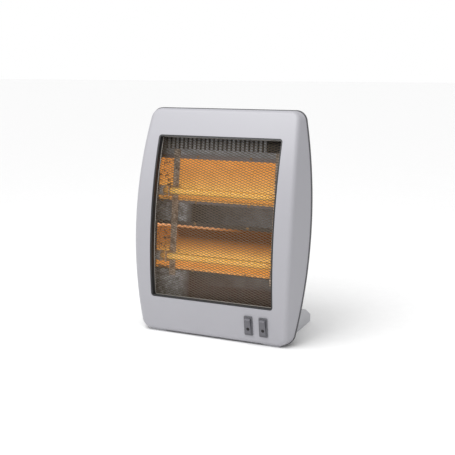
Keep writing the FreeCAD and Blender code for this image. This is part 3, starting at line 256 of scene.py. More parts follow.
def to_world(points):
    """Casing points leaned back about X, then moved so that the upper tube lies where the model has it."""
    s = sizes()
    leaned = np.array([[1, 0, 0], [0, math.cos(lean), math.sin(lean)], [0, -math.sin(lean), math.cos(lean)]])
    rise = s.window_bottom + s.upper_tube_share * (s.window_top - s.window_bottom)
    shift = np.array([0, *upper_tube]) - leaned @ np.array([0, -s.tube_ahead, rise])
    return np.asarray(points) @ leaned.T + shift


def piece(name, points, faces, material, body="casing", smooth=False):
    """Puts arrays of points and faces into a mesh object that rides on a body."""
    mesh = bpy.data.meshes.new(name)
    mesh.from_pydata(np.asarray(points).tolist(), [], [np.asarray(face).tolist() for face in faces])
    mesh.polygons.foreach_set("use_smooth", np.full(len(mesh.polygons), smooth))
    mesh.materials.append(material)
    mesh.update()
    made = bpy.data.objects.new(name, mesh)
    bpy.context.scene.collection.objects.link(made)
    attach(made, body)
    return made


def welded(points, faces):
    """Joins points that lie in one place and drops faces with no area."""
    digits, least_area = 7, 1e-10
    places, where = np.unique(np.round(points, digits), axis=0, return_inverse=True)
    faces = where.reshape(-1)[faces]
    corner = places[faces]
    area = np.linalg.norm(np.cross(corner[:, 2] - corner[:, 0], corner[:, 3] - corner[:, 1]), axis=1)
    return places, faces[area > least_area]


def bowed(x, z, inset):
    """Points on the bulging front, or the inset behind it: breadth and height are given, and the depth is
    that of an arc whose chord is the casing's height and whose rise is the bulge."""
    s = sizes()
    half = s.body_height / 2
    radius = (half ** 2 + s.front_bulge ** 2) / (2 * s.front_bulge)
    centre = radius - s.front_bulge - s.end_depth
    return np.stack([x, centre - np.sqrt((radius - inset) ** 2 - (z - half) ** 2), z], axis=-1)


def looped_faces(rings, sides, closed):
    """Quads between neighbouring rings of points, all round, and from the last to the first if closed."""
    ring, side = np.meshgrid(np.arange(rings if closed else rings - 1), np.arange(sides), indexing="ij")
    after, beside = (ring + 1) % rings, (side + 1) % sides
    corners = [ring * sides + side, ring * sides + beside, after * sides + beside, after * sides + side]
    return np.stack(corners, axis=-1).reshape(-1, 4)


def net_field():
    """Lower left and upper right corners of the diamond field, in breadth and height."""
    s = sizes()
    half = s.window_half - s.net_margin
    return (np.array([-half, s.window_bottom + s.net_margin]),
            np.array([half, s.window_top - s.net_margin]))


def diamond_net():
    """Two shifted lattices of diamonds tile the sheet. Each gap is its diamond shrunk by half a strand, and
    its upper corner stands ahead of its lower one, so every strand twists. Cells past the edge are folded
    flat."""
    s = sizes()
    low, high = net_field()
    step = (high - low) / (s.net_columns, s.net_rows)
    row, column = np.meshgrid(np.arange(2 * s.net_rows + 1), np.arange(s.net_columns + 1), indexing="ij")
    x = low[0] + (column + (row % 2) / 2) * step[0]
    z = low[1] + row * step[1] / 2
    inside = x < high[0] + step[0] / 4
    centre = np.stack([x[inside], z[inside]], axis=-1)
    corner = np.array([[1, 0], [0, 1], [-1, 0], [0, -1]]) * step / 2
    reach = step[0] * step[1] / 4 / np.hypot(*(step / 2))
    outer = np.clip(centre[:, None] + corner, low, high)
    inner = np.clip(centre[:, None] + corner * (1 - s.net_strand / 2 / reach), low, high)
    lift = s.net_twist * np.array([0.0, 1.0, 0.0, -1.0])
    front, back = s.net_inset - s.net_thick / 2, s.net_inset + s.net_thick / 2
    rings = np.stack([bowed(outer[..., 0], outer[..., 1], front),
                      bowed(inner[..., 0], inner[..., 1], front - lift),
                      bowed(outer[..., 0], outer[..., 1], back),
                      bowed(inner[..., 0], inner[..., 1], back - lift)], axis=1)
    first = np.arange(len(centre))[:, None] * 16
    k, after = np.arange(4), (np.arange(4) + 1) % 4
    outer_front, inner_front, outer_back, inner_back = (first + 4 * ring for ring in range(4))
    faces = np.concatenate([
        np.stack([outer_front + k, outer_front + after, inner_front + after, inner_front + k], axis=-1),
        np.stack([outer_back + k, inner_back + k, inner_back + after, outer_back + after], axis=-1),
        np.stack([inner_front + k, inner_front + after, inner_back + after, inner_back + k], axis=-1),
    ]).reshape(-1, 4)
    return welded(rings.reshape(-1, 3), faces)


def net_border():
    """A flat strip carried round the net's edge: four runs, each sampled finely enough to follow the bow."""
    s = sizes()
    steps = np.linspace(0, 1, s.border_steps, endpoint=False)
    low, high = net_field()
    middle, half = (low + high) / 2, (high - low) / 2
    ends = np.array([[-1, -1], [1, -1], [1, 1], [-1, 1]])
    way = np.concatenate([a + (b - a) * steps[:, None] for a, b in zip(ends, np.roll(ends, -1, axis=0))])
    grow = np.array([0.0, s.net_border])
    x = middle[0] + way[:, :1] * (half[0] + grow)
    z = middle[1] + way[:, 1:] * (half[1] + grow)
    front, back = s.net_inset - s.border_thick / 2, s.net_inset + s.border_thick / 2
    rings = np.stack([bowed(x[:, 0], z[:, 0], front), bowed(x[:, 1], z[:, 1], front),
                      bowed(x[:, 1], z[:, 1], back), bowed(x[:, 0], z[:, 0], back)], axis=1)
    return rings.reshape(-1, 3), looped_faces(len(rings), 4, True)[:, ::-1]


def round_wire(path, side, radius, sides):
    """A circle carried along a path: each ring lies across the run there, turned by the side vectors."""
    run = np.gradient(path, axis=0)
    run /= np.linalg.norm(run, axis=1, keepdims=True)
    side = side - run * np.sum(side * run, axis=1, keepdims=True)
    side /= np.linalg.norm(side, axis=1, keepdims=True)
    third = np.cross(run, side)
    angle = np.linspace(0, 2 * math.pi, sides, endpoint=False)[:, None]
    rings = path[:, None] + radius * (np.cos(angle) * side[:, None] + np.sin(angle) * third[:, None])
    last = (len(path) - 1) * sides
    faces = list(looped_faces(len(path), sides, False))
    faces += [np.arange(sides)[::-1], last + np.arange(sides)]
    return rings.reshape(-1, 3), faces


def wound(start, end, radius, wire, turns, lead=0.0, per_turn=20, sides=6):
    """A helix from start to end. With leads, its radius swells from nothing over the first turn and dies over
    the last, and a straight lead follows at each end. With none, the radius stays the same all along."""
    start, end = np.asarray(start), np.asarray(end)
    axis = (end - start) / np.linalg.norm(end - start)
    first = np.cross(axis, [0.0, 1.0, 0.0])
    first /= np.linalg.norm(first)
    second = np.cross(axis, first)
    along = np.linspace(0, 1, turns * per_turn + 1)
    angle = 2 * math.pi * turns * along
    swell = np.clip(np.minimum(along, 1 - along) * turns, 0, 1) if lead else np.ones_like(along)
    swell = radius * swell * swell * (3 - 2 * swell)
    side = np.cos(angle)[:, None] * first + np.sin(angle)[:, None] * second
    path = start + along[:, None] * (end - start) + swell[:, None] * side
    if lead:
        path = np.concatenate([[start - axis * lead], path, [end + axis * lead]])
        side = np.concatenate([side[:1], side, side[-1:]])
    return round_wire(path, side, wire, sides)


def louvre_slats():
    """One slanting blade behind each louvre: a parallelogram in depth and height, carried along it."""
    s = sizes()
    inside = s.cover_depth - s.cover_wall
    column, row = np.meshgrid(np.array([-1, 0, 1]) * s.louvre_spread, np.arange(s.louvre_rows), indexing="ij")
    top = s.louvre_low + row.ravel() * s.louvre_pitch + s.louvre_height
    half = s.louvre_length / 2
    profile = np.array([[inside, s.slat_thick], [inside, 0.0], [inside - s.slat_reach, -s.slat_drop],
                        [inside - s.slat_reach, s.slat_thick - s.slat_drop]])
    ends = np.stack([column.ravel() - half, column.ravel() + half], axis=-1)
    points = np.empty((len(top), 2, 4, 3))
    points[..., 0] = ends[:, :, None]
    points[..., 1] = profile[:, 0]
    points[..., 2] = top[:, None, None] + profile[:, 1]
    first = np.arange(len(top))[:, None] * 8
    cell = np.array([[0, 1, 5, 4], [1, 2, 6, 5], [2, 3, 7, 6], [3, 0, 4, 7], [3, 2, 1, 0], [4, 5, 6, 7]])
    return points.reshape(-1, 3), (first[:, :, None] + cell).reshape(-1, 4)


# Node trees


def join(tree, value, socket):
    """Gives a socket its value: a link from another socket, or a number or colour of its own."""
    value = getattr(value, "socket", value)
    if isinstance(value, bpy.types.NodeSocket):
        tree.links.new(value, socket)
    elif socket.type == "RGBA":
        socket.default_value = (*value, 1)
    else:
        socket.default_value = value


def feed(tree, node, values):
    """Gives the named or numbered inputs of a node their values."""
    for name, value in values.items():
        join(tree, value, node.inputs[name])


def add(tree, kind, inputs=None, **settings):
    """Makes a node with these settings and inputs."""
    made = tree.nodes.new("ShaderNode" + kind)
    for name, value in settings.items():
        setattr(made, name, value)
    feed(tree, made, inputs or {})
    return made


def maths(tree, operation, *values):
    """A Math node's result."""
    return Number(tree, add(tree, "Math", dict(enumerate(values)), operation=operation).outputs[0])


class Number:
    """A number that varies over a surface. It stands for a socket, and sums with it make Math nodes."""

    def __init__(self, tree, socket):
        self.tree, self.socket = tree, socket

    def by(self, operation, *others):
        """A Math node on this number and others."""
        return maths(self.tree, operation, self, *others)

    def __add__(self, other):
        return self.by("ADD", other)

    def __sub__(self, other):
        return self.by("SUBTRACT", other)

    def __rsub__(self, other):
        return maths(self.tree, "SUBTRACT", other, self)

    def __mul__(self, other):
        return self.by("MULTIPLY", other)

    def __truediv__(self, other):
        return self.by("DIVIDE", other)

    def __rtruediv__(self, other):
        return maths(self.tree, "DIVIDE", other, self)

    def __abs__(self):
        return self.by("ABSOLUTE")

    __radd__, __rmul__ = __add__, __mul__

    def ramp(self, first, last, start=0.0, end=1.0):
        """A straight change from start to end while the number goes from first to last, and level beyond."""
        made = add(self.tree, "MapRange", {"Value": self, "From Min": first, "From Max": last,
                                           "To Min": start, "To Max": end})
        return Number(self.tree, made.outputs[0])


def apart(tree, vector):
    """The three numbers of a vector."""
    return [Number(tree, part) for part in add(tree, "SeparateXYZ", {0: vector}).outputs]


def spot(tree):
    """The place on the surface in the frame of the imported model, whole and as three numbers."""
    whole = add(tree, "TexCoord").outputs["Object"]
    return whole, apart(tree, whole)


noise_middle = 0.5


def noise(tree, where, scale, detail, roughness=0.5):
    """Cloudy noise between none and one."""
    made = add(tree, "TexNoise", {"Vector": where, "Scale": scale, "Detail": detail, "Roughness": roughness})
    return Number(tree, made.outputs[0])


def blend(tree, factor, first, second):
    """A mix of two colours."""
    return add(tree, "Mix", {"Factor": factor, 6: first, 7: second}, data_type="RGBA").outputs[2]


def shaded(tree, tint, value):
    """A colour made darker or lighter by a number."""
    return add(tree, "HueSaturation", {"Value": value, "Color": tint}).outputs[0]


COLOUR, NUMBER = "NodeSocketColor", "NodeSocketFloat"


def effect(inputs, outputs):
    """Turns a function that wires an effect into one that places it in a material with values of its own. The
    effect is a shader node group, built once, with these defaults for inputs and these kinds of outputs."""
    def maker(wiring):
        def build():
            tree = bpy.data.node_groups.new(wiring.__name__, "ShaderNodeTree")
            for name, default in inputs.items():
                kind = COLOUR if isinstance(default, tuple) else NUMBER
                socket = tree.interface.new_socket(name, in_out="INPUT", socket_type=kind)
                socket.default_value = (*default, 1) if kind == COLOUR else default
            for name, kind in outputs.items():
                tree.interface.new_socket(name, in_out="OUTPUT", socket_type=kind)
            given = tree.nodes.new("NodeGroupInput").outputs
            made = wiring(tree, {name: Number(tree, given[name]) for name in inputs})
            feed(tree, tree.nodes.new("NodeGroupOutput"), made)
            return tree

        @functools.wraps(wiring)
        def placed(tree, values):
            group = bpy.data.node_groups.get(wiring.__name__) or build()
            return add(tree, "Group", values, node_tree=group)
        return placed
    return maker


@effect({"Colour": (0.5, 0.5, 0.5), "Drift": 0.06, "Grain": 900.0, "Roughness": 0.45},
        {"Colour": COLOUR, "Roughness": NUMBER, "Height": NUMBER})
def moulded_grain(tree, given):
    """Moulded plastic: a slow drift in shade and roughness and a fine spark-eroded grain."""
    drift_rough, speck_rough, speck_shade = 0.18, 0.15, 0.05
    whole, _ = spot(tree)
    drift = noise(tree, whole, scale=11.0, detail=3.0) - noise_middle
    grain = noise(tree, whole, scale=given["Grain"], detail=4.0)
    speck = grain - noise_middle
    return {"Colour": shaded(tree, given["Colour"], 1.0 + drift * given["Drift"] + speck * speck_shade),
            "Roughness": given["Roughness"] + drift * drift_rough + speck * speck_rough, "Height": grain}


@effect({"Colour": (0.5, 0.5, 0.5), "Streak": 0.25, "Stain": 0.3, "Stain Scale": 55.0, "Roughness": 0.4},
        {"Colour": COLOUR, "Roughness": NUMBER, "Height": NUMBER})
def rolled_sheet(tree, given):
    """Rolled metal: long streaks across the heater and soft stains."""
    uneven_rough, across, other = 0.25, 9.0, 700.0
    whole, _ = spot(tree)
    drawn = add(tree, "Mapping", {"Vector": whole, "Scale": (across, other, other)}).outputs[0]
    height = noise(tree, drawn, scale=1.0, detail=4.0)
    streak = height - noise_middle
    stain = noise(tree, whole, scale=given["Stain Scale"], detail=5.0) - noise_middle
    return {"Colour": shaded(tree, given["Colour"], 1.0 + streak * given["Streak"] + stain * given["Stain"]),
            "Roughness": given["Roughness"] + (streak + stain) * uneven_rough, "Height": height}


@effect({"Reach": 0.02, "Colour": (1.0, 0.4, 0.1)}, {"Colour": COLOUR})
def tube_light(tree, given):
    """Warm light of the two tubes on a place: for each tube one over one plus distance squared by reach
    squared, fading towards the tubes' ends."""
    _, (x, y, z) = spot(tree)
    total = 0.0
    for depth, rise in (upper_tube, lower_tube):
        back, up = (y - depth) / given["Reach"], (z - rise) / given["Reach"]
        total = total + 1.0 / (1.0 + back * back + up * up)
    light = total * abs(x).ramp(*zones().light_fade, start=1.0, end=0.42)
    return {"Colour": blend(tree, light, (0, 0, 0), given["Colour"])}


@effect({"Rise": 0.2, "Reach": 0.012, "Dim From": 0.03, "Dim To": 0.05, "Dimmest": 0.2, "Below": 0.6,
         "Low": 0.1, "High": 0.2, "Edge Light": 0.0, "Far": (0.8, 0.27, 0.07), "Near": (1.0, 0.52, 0.16),
         "Sheet": (0.34, 0.20, 0.09), "Lip": (0.2, 0.2, 0.2)},
        {"Sheet": COLOUR, "Light": COLOUR})
def trough_light(tree, given):
    """A trough's warm light by height over its tube: one over one plus height squared by reach squared turns
    the far colour into the near one. It dims towards the upper lip, below the tube and at both ends, which
    have flecks. The outside and the flat lips stay unlit, and the left part of the upper edge catches more
    light. Where that light is dim the sheet's own colour is darkened to a brown as painted shade, the
    flecks brown it too, and it has its own colour on the lips."""
    end_light, fleck_shade, fleck_brown, dent_shade = 0.58, 0.85, 0.9, 0.5
    fleck_band, turned_back = (0.465, 0.375), (0.15, 0.0)
    bounds = zones()
    whole, (x, _, z) = spot(tree)
    height = z - given["Rise"]
    away = (height + bounds.glow_drop) / given["Reach"]
    warm = blend(tree, 1.0 / (1.0 + away * away), given["Far"], given["Near"])
    end = abs(x).ramp(*bounds.trough_ends)
    flecks = end * noise(tree, whole, scale=190.0, detail=3.0).ramp(*fleck_band)
    dim = height.ramp(given["Dim From"], given["Dim To"], start=1.0, end=given["Dimmest"])
    dim = dim.by("MAXIMUM", end * end_light)
    dents = noise(tree, whole, scale=45.0, detail=3.0) - noise_middle
    light = (dim * abs(x).ramp(*bounds.trough_fade, start=1.0, end=0.82)
             * height.ramp(*bounds.under_tube, start=given["Below"], end=1.0)
             * (1.0 + dents * dent_shade) * (1.0 - flecks * fleck_shade))
    lip = z.by("GREATER_THAN", given["High"]) + z.by("LESS_THAN", given["Low"])
    sideways, backwards, _ = apart(tree, add(tree, "NewGeometry").outputs["Normal"])
    inside = (backwards + sideways * x.by("SIGN")).ramp(*turned_back)
    edge = ((given["High"] - z).ramp(*bounds.edge_band) * x.ramp(*bounds.edge_fade, start=1.0, end=0.0)
            * given["Edge Light"])
    warm = blend(tree, edge, warm, colours().edge_glow)
    # Painted shade: the sheet's own colour darkens to brown where the painted light is dim, and at the
    # flecks.
    sheet = blend(tree, dim * (1.0 - flecks * fleck_brown), colours().scorched_and_shaded, given["Sheet"])
    return {"Sheet": blend(tree, lip, sheet, given["Lip"]),
            "Light": shaded(tree, warm, (light + edge) * (1.0 - lip) * inside)}


@effect({"Colour": (1.0, 0.67, 0.16), "Roughness": 0.15}, {"Colour": COLOUR, "Roughness": NUMBER})
def tube_heat(tree, given):
    """Heat along a tube: full in the middle, down to a dull red at the coil's ends, and a little cloudy."""
    cloud_heat, cloud_rough = 0.3, 0.2
    whole, (x, _, _) = spot(tree)
    cloud = noise(tree, whole, scale=60.0, detail=3.0)
    heat = (abs(x).ramp(*zones().heat_fade, start=1.0, end=0.12)
            * (1.0 + (cloud - noise_middle) * cloud_heat))
    return {"Colour": blend(tree, heat, colours().dull_red, given["Colour"]),
            "Roughness": given["Roughness"] + cloud * cloud_rough}


@effect({"Colour": (0.5, 0.5, 0.5), "Worn": (0.8, 0.8, 0.8), "Radius": 0.001, "Amount": 0.5},
        {"Colour": COLOUR})
def edge_wear(tree, given):
    """Wear where a surface turns sharply: how far a rounded normal leans from the plain one, broken up by
    noise, turns the colour into the worn one."""
    turned_band, patch_band = (0.98, 0.8), (0.35, 0.6)
    whole, _ = spot(tree)
    rounded = add(tree, "Bevel", {"Radius": given["Radius"]}, samples=4).outputs[0]
    plain = add(tree, "NewGeometry").outputs["Normal"]
    product = add(tree, "VectorMath", {0: rounded, 1: plain}, operation="DOT_PRODUCT")
    same = Number(tree, product.outputs["Value"])
    patches = noise(tree, whole, scale=130.0, detail=4.0)
    worn = same.ramp(*turned_band) * patches.ramp(*patch_band) * given["Amount"]
    return {"Colour": blend(tree, worn, given["Colour"], given["Worn"])}


# Finishes


def finish(name):
    """A new material; returns it with its tree and its Principled shader."""
    made = bpy.data.materials.new(name)
    made.use_nodes = True
    return made, made.node_tree, made.node_tree.nodes["Principled BSDF"]


def surface(tree, shader, source, bump, wear=0.0, worn=(0.8, 0.8, 0.8)):
    """Links an effect's colour, roughness and height to the shader, with edges worn to another colour."""
    tint = source.outputs["Colour"]
    if wear:
        tint = edge_wear(tree, {"Colour": tint, "Worn": worn, "Amount": wear}).outputs["Colour"]
    relief = add(tree, "Bump", {"Height": source.outputs["Height"], "Strength": bump,
                                "Distance": sizes().grain_depth})
    feed(tree, shader, {"Base Color": tint, "Roughness": source.outputs["Roughness"],
                        "Normal": relief.outputs[0]})


def changed(tint, gain, lift=0.0):
    """A colour multiplied and then lifted."""
    return [min(1.0, gain * part + lift) for part in tint]


def plastic(name, tint, roughness, grain=900.0, drift=0.06, bump=0.25, wear=0.35):
    """Moulded plastic, paler along its edges."""
    made, tree, shader = finish(name)
    source = moulded_grain(tree, {"Colour": tint, "Drift": drift, "Grain": grain, "Roughness": roughness})
    surface(tree, shader, source, bump, wear, worn=changed(tint, gain=1.4, lift=0.03))
    return made


def bare_metal(name, tint, roughness, metallic=0.9, stain=0.3, stain_scale=55.0, wear=0.5):
    """Rolled sheet or drawn metal, brighter along its edges, with its tree and its shader."""
    made, tree, shader = finish(name)
    source = rolled_sheet(tree, {"Colour": tint, "Stain": stain, "Stain Scale": stain_scale,
                                 "Roughness": roughness})
    surface(tree, shader, source, bump=0.15, wear=wear, worn=changed(tint, gain=1.5, lift=0.1))
    feed(tree, shader, {"Metallic": metallic})
    return made, tree, shader


def metal(name, tint, roughness):
    """Rolled sheet or drawn metal with nothing added."""
    return bare_metal(name, tint, roughness)[0]


def lit(tree, shader, reach, strength):
    """Adds the tubes' warm light, strongest beside them."""
    light = tube_light(tree, {"Reach": reach, "Colour": colours().glow})
    feed(tree, shader, {"Emission Color": light.outputs["Colour"], "Emission Strength": strength})


def lit_metal(name, tint, roughness, reach, strength, **other):
    """Metal that also shows the tubes' warm light."""
    made, tree, shader = bare_metal(name, tint, roughness, **other)
    lit(tree, shader, reach, strength)
    return made


def trough(name, node, rise, lip_tint, far, low_lip, dim_from, dim_to, dimmest, below, edge_light):
    """A polished trough that throws back the light of its own tube, with plain lips."""
    low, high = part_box(node)
    lip = sizes().trough_lip * math.cos(lean)
    # The base colour is aluminium tinted with a painted reflection of the tubes' glow.
    made, tree, shader = bare_metal(name, colours().aluminium_and_glow, roughness=0.5, metallic=0.85)
    plain = shader.inputs["Base Color"].links[0].from_socket
    light = trough_light(tree, {
        "Rise": rise, "Dim From": dim_from, "Dim To": dim_to, "Dimmest": dimmest, "Below": below,
        "Low": low.z + lip * low_lip, "High": high.z - lip, "Edge Light": edge_light, "Far": far,
        "Near": colours().flare, "Sheet": plain, "Lip": lip_tint})
    feed(tree, shader, {"Base Color": light.outputs["Sheet"], "Emission Color": light.outputs["Light"],
                        "Emission Strength": 1.0})
    return made


def shade_painted_sheet(name, tint):
    """The heat shield: rolled sheet with painted shade between the troughs and below them, reddened in
    patches below, and mottled at its left end, where it has no painted shade."""
    shadow_share, patch_band = 0.9, (0.36, 0.64)
    c, bounds = colours(), zones()
    made, tree, shader = bare_metal(name, tint, roughness=0.5, metallic=0.55, stain=1.6)
    whole, (x, _, z) = spot(tree)
    right, under = x.ramp(*bounds.shade_side), z.ramp(*bounds.shade_top)
    patches = noise(tree, whole, scale=150.0, detail=4.0, roughness=0.65)
    mottled = 1.0 + under * (1.0 - right) * (patches.ramp(*patch_band, start=0.35, end=1.55) - 1.0)
    plain = shaded(tree, shader.inputs["Base Color"].links[0].from_socket, mottled)
    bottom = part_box("lower_reflector")[0].z
    low = z.ramp(bottom, bottom - bounds.shadow_drop)
    # Painted shade: darkens the shield between the troughs, less to the right, and below the lower trough.
    painted_shade = right * under * x.ramp(*bounds.shade_fade, start=0.97, end=0.5)
    painted_shade = painted_shade.by("MAXIMUM", low * right * shadow_share)
    # The painted shade's colour, reddened in patches below the lower trough.
    shade_colour = blend(tree, low * patches, c.painted_shade, c.shadowed)
    feed(tree, shader, {"Base Color": blend(tree, painted_shade, plain, shade_colour)})
    lit(tree, shader, reach=0.04, strength=0.02)
    return made


def glowing(name, tint, strength, plain):
    """Something that glows by the heat along its tube, with these plain values."""
    made, tree, shader = finish(name)
    heat = tube_heat(tree, {"Colour": tint})
    feed(tree, shader, {"Emission Color": heat.outputs["Colour"], "Roughness": heat.outputs["Roughness"],
                        "Emission Strength": strength, **plain})
    return made


def ceramic(name, tint):
    """Unglazed ceramic with specks, darker and browner along its edges."""
    made, tree, shader = finish(name)
    source = moulded_grain(tree, {"Colour": tint, "Drift": 0.35, "Grain": 1400.0, "Roughness": 0.62})
    surface(tree, shader, source, bump=0.4, wear=0.4, worn=changed(tint, gain=0.55))
    return made


def dress(made, *nodes):
    """Gives the named CAD pieces a finish."""
    for name in nodes:
        held = frame["nodes"][name].data.materials
        held.clear()
        held.append(made)


# Operators


class HEATER_OT_casing(bpy.types.Operator):
    """Finishes the plastic front, feet, rim and back cover, and adds slats behind the cover's louvres"""
    bl_idname = "heater.casing"
    bl_label = "Casing"
    bl_options = {"REGISTER", "UNDO"}

    def execute(self, context):
        c = colours()
        dress(plastic("front_plastic", c.bezel, roughness=0.42, drift=0.05, bump=0.16), "front_bezel")
        # The feet are made paler than the front as painted light.
        dress(plastic("foot_plastic", c.foot_painted_light, roughness=0.46, drift=0.08, bump=0.2), "left_foot",
              "right_foot")
        dress(plastic("rim_plastic", c.rim, roughness=0.4, bump=0.2, wear=0.1), "grille_frame")
        dark = plastic("cover_plastic", c.cover, roughness=0.5, grain=700.0, drift=0.25, bump=0.4)
        dress(dark, "back_cover")
        points, faces = louvre_slats()
        piece("louvre_slats", to_world(points), faces, dark)
        return {"FINISHED"}


class HEATER_OT_guard_net(bpy.types.Operator):
    """Makes the fine diamond guard net and the strip round it"""
    bl_idname = "heater.guard_net"
    bl_label = "Guard net"
    bl_options = {"REGISTER", "UNDO"}

    def execute(self, context):
        c = colours()
        steel = lit_metal("guard_steel", c.net, roughness=0.42, reach=0.03, strength=0.04, metallic=0.7,
                          wear=0.0)
        # The border's pale steel is a painted highlight.
        pale = lit_metal("border_highlight_steel", c.border, roughness=0.5, reach=0.022, strength=0.05, metallic=0.3)
        for name, (points, faces), sheet in (("guard_net", diamond_net(), steel),
                                             ("guard_border", net_border(), pale)):
            made = piece(name, to_world(points), faces, sheet)
            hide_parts("grille_mesh")
        return {"FINISHED"}


class HEATER_OT_hearth(bpy.types.Operator):
    """Finishes the heat shield, reflectors, brackets and their fixings"""
    bl_idname = "heater.hearth"
    bl_label = "Hearth"
    bl_options = {"REGISTER", "UNDO"}

    def execute(self, context):
        c = colours()
        dress(shade_painted_sheet("shield_sheet", c.shield), "heat_shield", "shield_screws")
        dress(lit_metal("bracket_sheet", c.bracket, roughness=0.42, reach=0.03, strength=0.16, metallic=0.6,
                        stain=4.0, stain_scale=210.0),
              "left_tube_bracket", "right_tube_bracket", "bracket_screws")
        dress(trough("upper_trough_sheet", "upper_reflector", upper_tube[1], c.upper_lip, c.glow, low_lip=0.7,
                     dim_from=0.045, dim_to=0.06, dimmest=0.8, below=0.62, edge_light=0.0),
              "upper_reflector")
        dress(trough("lower_trough_sheet", "lower_reflector", lower_tube[1], c.lower_lip, c.ember,
                     low_lip=0.35, dim_from=-0.002, dim_to=0.027, dimmest=0.1, below=0.97, edge_light=0.95),
              "lower_reflector")
        # The rivets share that aluminium with its painted reflection of the glow.
        dress(lit_metal("rivet_metal", c.aluminium_and_glow, roughness=0.5, reach=0.012, strength=0.1),
              "reflector_rivets")
        return {"FINISHED"}


class HEATER_OT_tubes(bpy.types.Operator):
    """Finishes the quartz tubes and their caps, and winds the glowing coils"""
    bl_idname = "heater.tubes"
    bl_label = "Tubes and coils"
    bl_options = {"REGISTER", "UNDO"}

    def execute(self, context):
        s, c = sizes(), colours()
        hot = glowing("hot_wire", c.coil, strength=0.75, plain={"Base Color": c.wire, "Metallic": 0.8})
        clear = {"Base Color": c.quartz, "Transmission Weight": 1.0, "IOR": 1.46}
        dress(glowing("hot_quartz", c.tube, strength=0.06, plain=clear), "upper_quartz_tube",
              "lower_quartz_tube")
        dress(ceramic("cap_ceramic", c.ceramic), "upper_left_cap", "upper_right_cap", "lower_left_cap",
              "lower_right_cap")
        reach = s.coil_half + s.coil_radius
        for name, (depth, rise) in {"upper": upper_tube, "lower": lower_tube}.items():
            points, faces = wound((-reach, depth, rise), (reach, depth, rise), s.coil_radius, s.coil_wire,
                                  s.coil_turns, s.coil_lead)
            made = piece(name + "_coil", points, faces, hot, smooth=True)
            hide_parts(name + "_heating_coil")
        return {"FINISHED"}


class HEATER_OT_switches(bpy.types.Operator):
    """Finishes the rocker switches and their marks"""
    bl_idname = "heater.switches"
    bl_label = "Rocker switches"
    bl_options = {"REGISTER", "UNDO"}

    def execute(self, context):
        c = colours()
        dress(plastic("switch_plastic", c.switch, roughness=0.32, drift=0.1, bump=0.08), "left_switch_body",
              "right_switch_body")
        dress(plastic("rocker_plastic", c.rocker, roughness=0.28, drift=0.1, bump=0.06), "left_rocker",
              "right_rocker")
        dress(plastic("mark_plastic", c.mark, roughness=0.7, drift=0.2, bump=0.04, wear=0.0),
              "left_rocker_mark", "right_rocker_mark")
        return {"FINISHED"}


class HEATER_OT_inside(bpy.types.Operator):
    """Finishes the fixings, terminals, wires and small parts inside, and winds the tip-over spring"""
    bl_idname = "heater.inside"
    bl_label = "Inside parts"
    bl_options = {"REGISTER", "UNDO"}

    def execute(self, context):
        s, c = sizes(), colours()
        steel = metal("fixing_steel", c.steel, roughness=0.36)
        dress(steel, "cover_screws", "block_screws", "foot_screws")
        dress(metal("terminal_brass", c.brass, roughness=0.34), "tube_studs", "stud_nuts", "switch_blades",
              "cutout_blades")
        dress(plastic("tip_switch_plastic", c.cover, roughness=0.45), "tip_switch_body")
        dress(plastic("plunger_plastic", c.plunger, roughness=0.35), "tip_plunger")
        dress(plastic("block_plastic", c.block, roughness=0.48), "terminal_block")
        dress(ceramic("cutout_ceramic", c.ceramic), "thermal_cutout")
        dress(plastic("gland_rubber", c.rubber, roughness=0.7, grain=500.0, bump=0.5), "cord_gland")
        dress(plastic("live_insulation", c.live, roughness=0.5), "left_feed_wire", "right_feed_wire",
              "lower_tube_wire", "upper_tube_wire")
        dress(plastic("neutral_insulation", c.neutral, roughness=0.5), "upper_return_wire", "cutout_wire",
              "lower_return_wire", "tip_wire")
        low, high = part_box("tip_spring")
        along = np.array([0.0, math.sin(lean), math.cos(lean)])
        middle = np.array((low + high) / 2)
        radius = (high.x - low.x) / 2 - s.spring_wire
        half = ((high.z - low.z) / 2 - s.spring_wire - radius * math.sin(lean)) / math.cos(lean)
        points, faces = wound(middle - along * half, middle + along * half, radius, s.spring_wire,
                              s.spring_turns, per_turn=32, sides=8)
        made = piece("tip_over_spring", points, faces, steel, smooth=True)
        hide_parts("tip_spring")
        return {"FINISHED"}


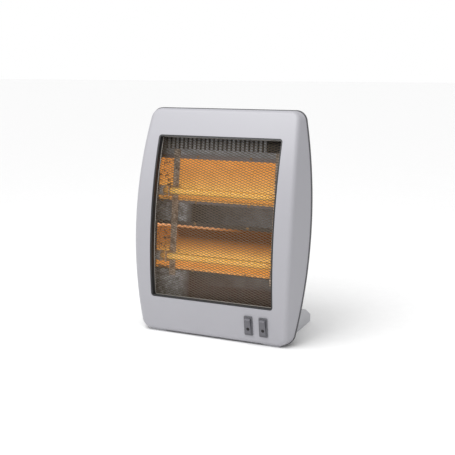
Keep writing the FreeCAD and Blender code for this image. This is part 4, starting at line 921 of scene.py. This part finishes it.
class HEATER_OT_stage(bpy.types.Operator):
    """Makes the pale floor, the soft lights and the camera"""
    bl_idname = "heater.stage"
    bl_label = "Stage"
    bl_options = {"REGISTER", "UNDO"}

    def execute(self, context):
        scene = context.scene
        s = scene.heater_stage
        scene.view_settings.view_transform = "Standard"
        pale, tree, shader = finish("pale_floor")
        source = moulded_grain(tree, {"Colour": colours().floor, "Drift": 0.01, "Grain": 60.0,
                                      "Roughness": 0.8})
        surface(tree, shader, source, bump=0.02)
        mesh = bpy.data.meshes.new("floor")
        corners = np.array([[-1, -1, 0], [1, -1, 0], [1, 1, 0], [-1, 1, 0]]) * s.floor_half
        mesh.from_pydata(corners.tolist(), [], [(0, 1, 2, 3)])
        mesh.materials.append(pale)
        floor = bpy.data.objects.new("floor", mesh)
        scene.collection.objects.link(floor)
        scene.world = bpy.data.worlds.new("studio")
        scene.world.use_nodes = True
        tree = scene.world.node_tree
        seen = Number(tree, add(tree, "LightPath").outputs["Is Camera Ray"])
        feed(tree, tree.nodes["Background"], {"Color": (1, 1, 1),
                                              "Strength": s.sky_light + seen * (s.sky_seen - s.sky_light)})
        sun = bpy.data.lights.new("soft_sun", "SUN")
        sun.energy, sun.angle = s.sun_power, s.sun_spread
        box = bpy.data.lights.new("soft_box", "AREA")
        box.energy, box.size = s.box_power, s.box_width
        camera = bpy.data.cameras.new("camera")
        camera.lens, camera.sensor_width = s.lens, s.sensor
        for held, where, (tilt, heading) in ((sun, s.sun_place, s.sun_turn), (box, s.box_place, s.box_turn),
                                             (camera, s.camera_place, s.camera_turn)):
            made = bpy.data.objects.new(held.name, held)
            made.location = where
            made.rotation_euler = (tilt, 0, heading)
            scene.collection.objects.link(made)
        scene.camera = made
        return {"FINISHED"}


operators = (HEATER_OT_casing, HEATER_OT_guard_net, HEATER_OT_hearth, HEATER_OT_tubes, HEATER_OT_switches,
             HEATER_OT_inside, HEATER_OT_stage)


class HEATER_PT_looks(bpy.types.Panel):
    """Lists the operators, and the sizes, colours, zones and stage values"""
    bl_idname = "HEATER_PT_looks"
    bl_label = "Quartz heater"
    bl_space_type = "VIEW_3D"
    bl_region_type = "UI"
    bl_category = "Heater"

    def draw(self, context):
        for operator in operators:
            self.layout.operator(operator.bl_idname)
        for group in groups:
            held = getattr(context.scene, group)
            box = self.layout.box()
            for name in held.__annotations__:
                box.prop(held, name)


groups = {"heater_sizes": HeaterSizes, "heater_colours": HeaterColours, "heater_zones": HeaterZones,
          "heater_stage": HeaterStage}
classes = (*groups.values(), *operators, HEATER_PT_looks)


def register():
    for held in classes:
        bpy.utils.register_class(held)
    for name, held in groups.items():
        setattr(bpy.types.Scene, name, bpy.props.PointerProperty(type=held))


def unregister():
    for name in groups:
        delattr(bpy.types.Scene, name)
    for held in reversed(classes):
        bpy.utils.unregister_class(held)


def main():
    register()
    bpy.ops.heater.casing()
    bpy.ops.heater.guard_net()
    bpy.ops.heater.hearth()
    bpy.ops.heater.tubes()
    bpy.ops.heater.switches()
    bpy.ops.heater.inside()
    bpy.ops.heater.stage()


if __name__ == "__main__":
    main()
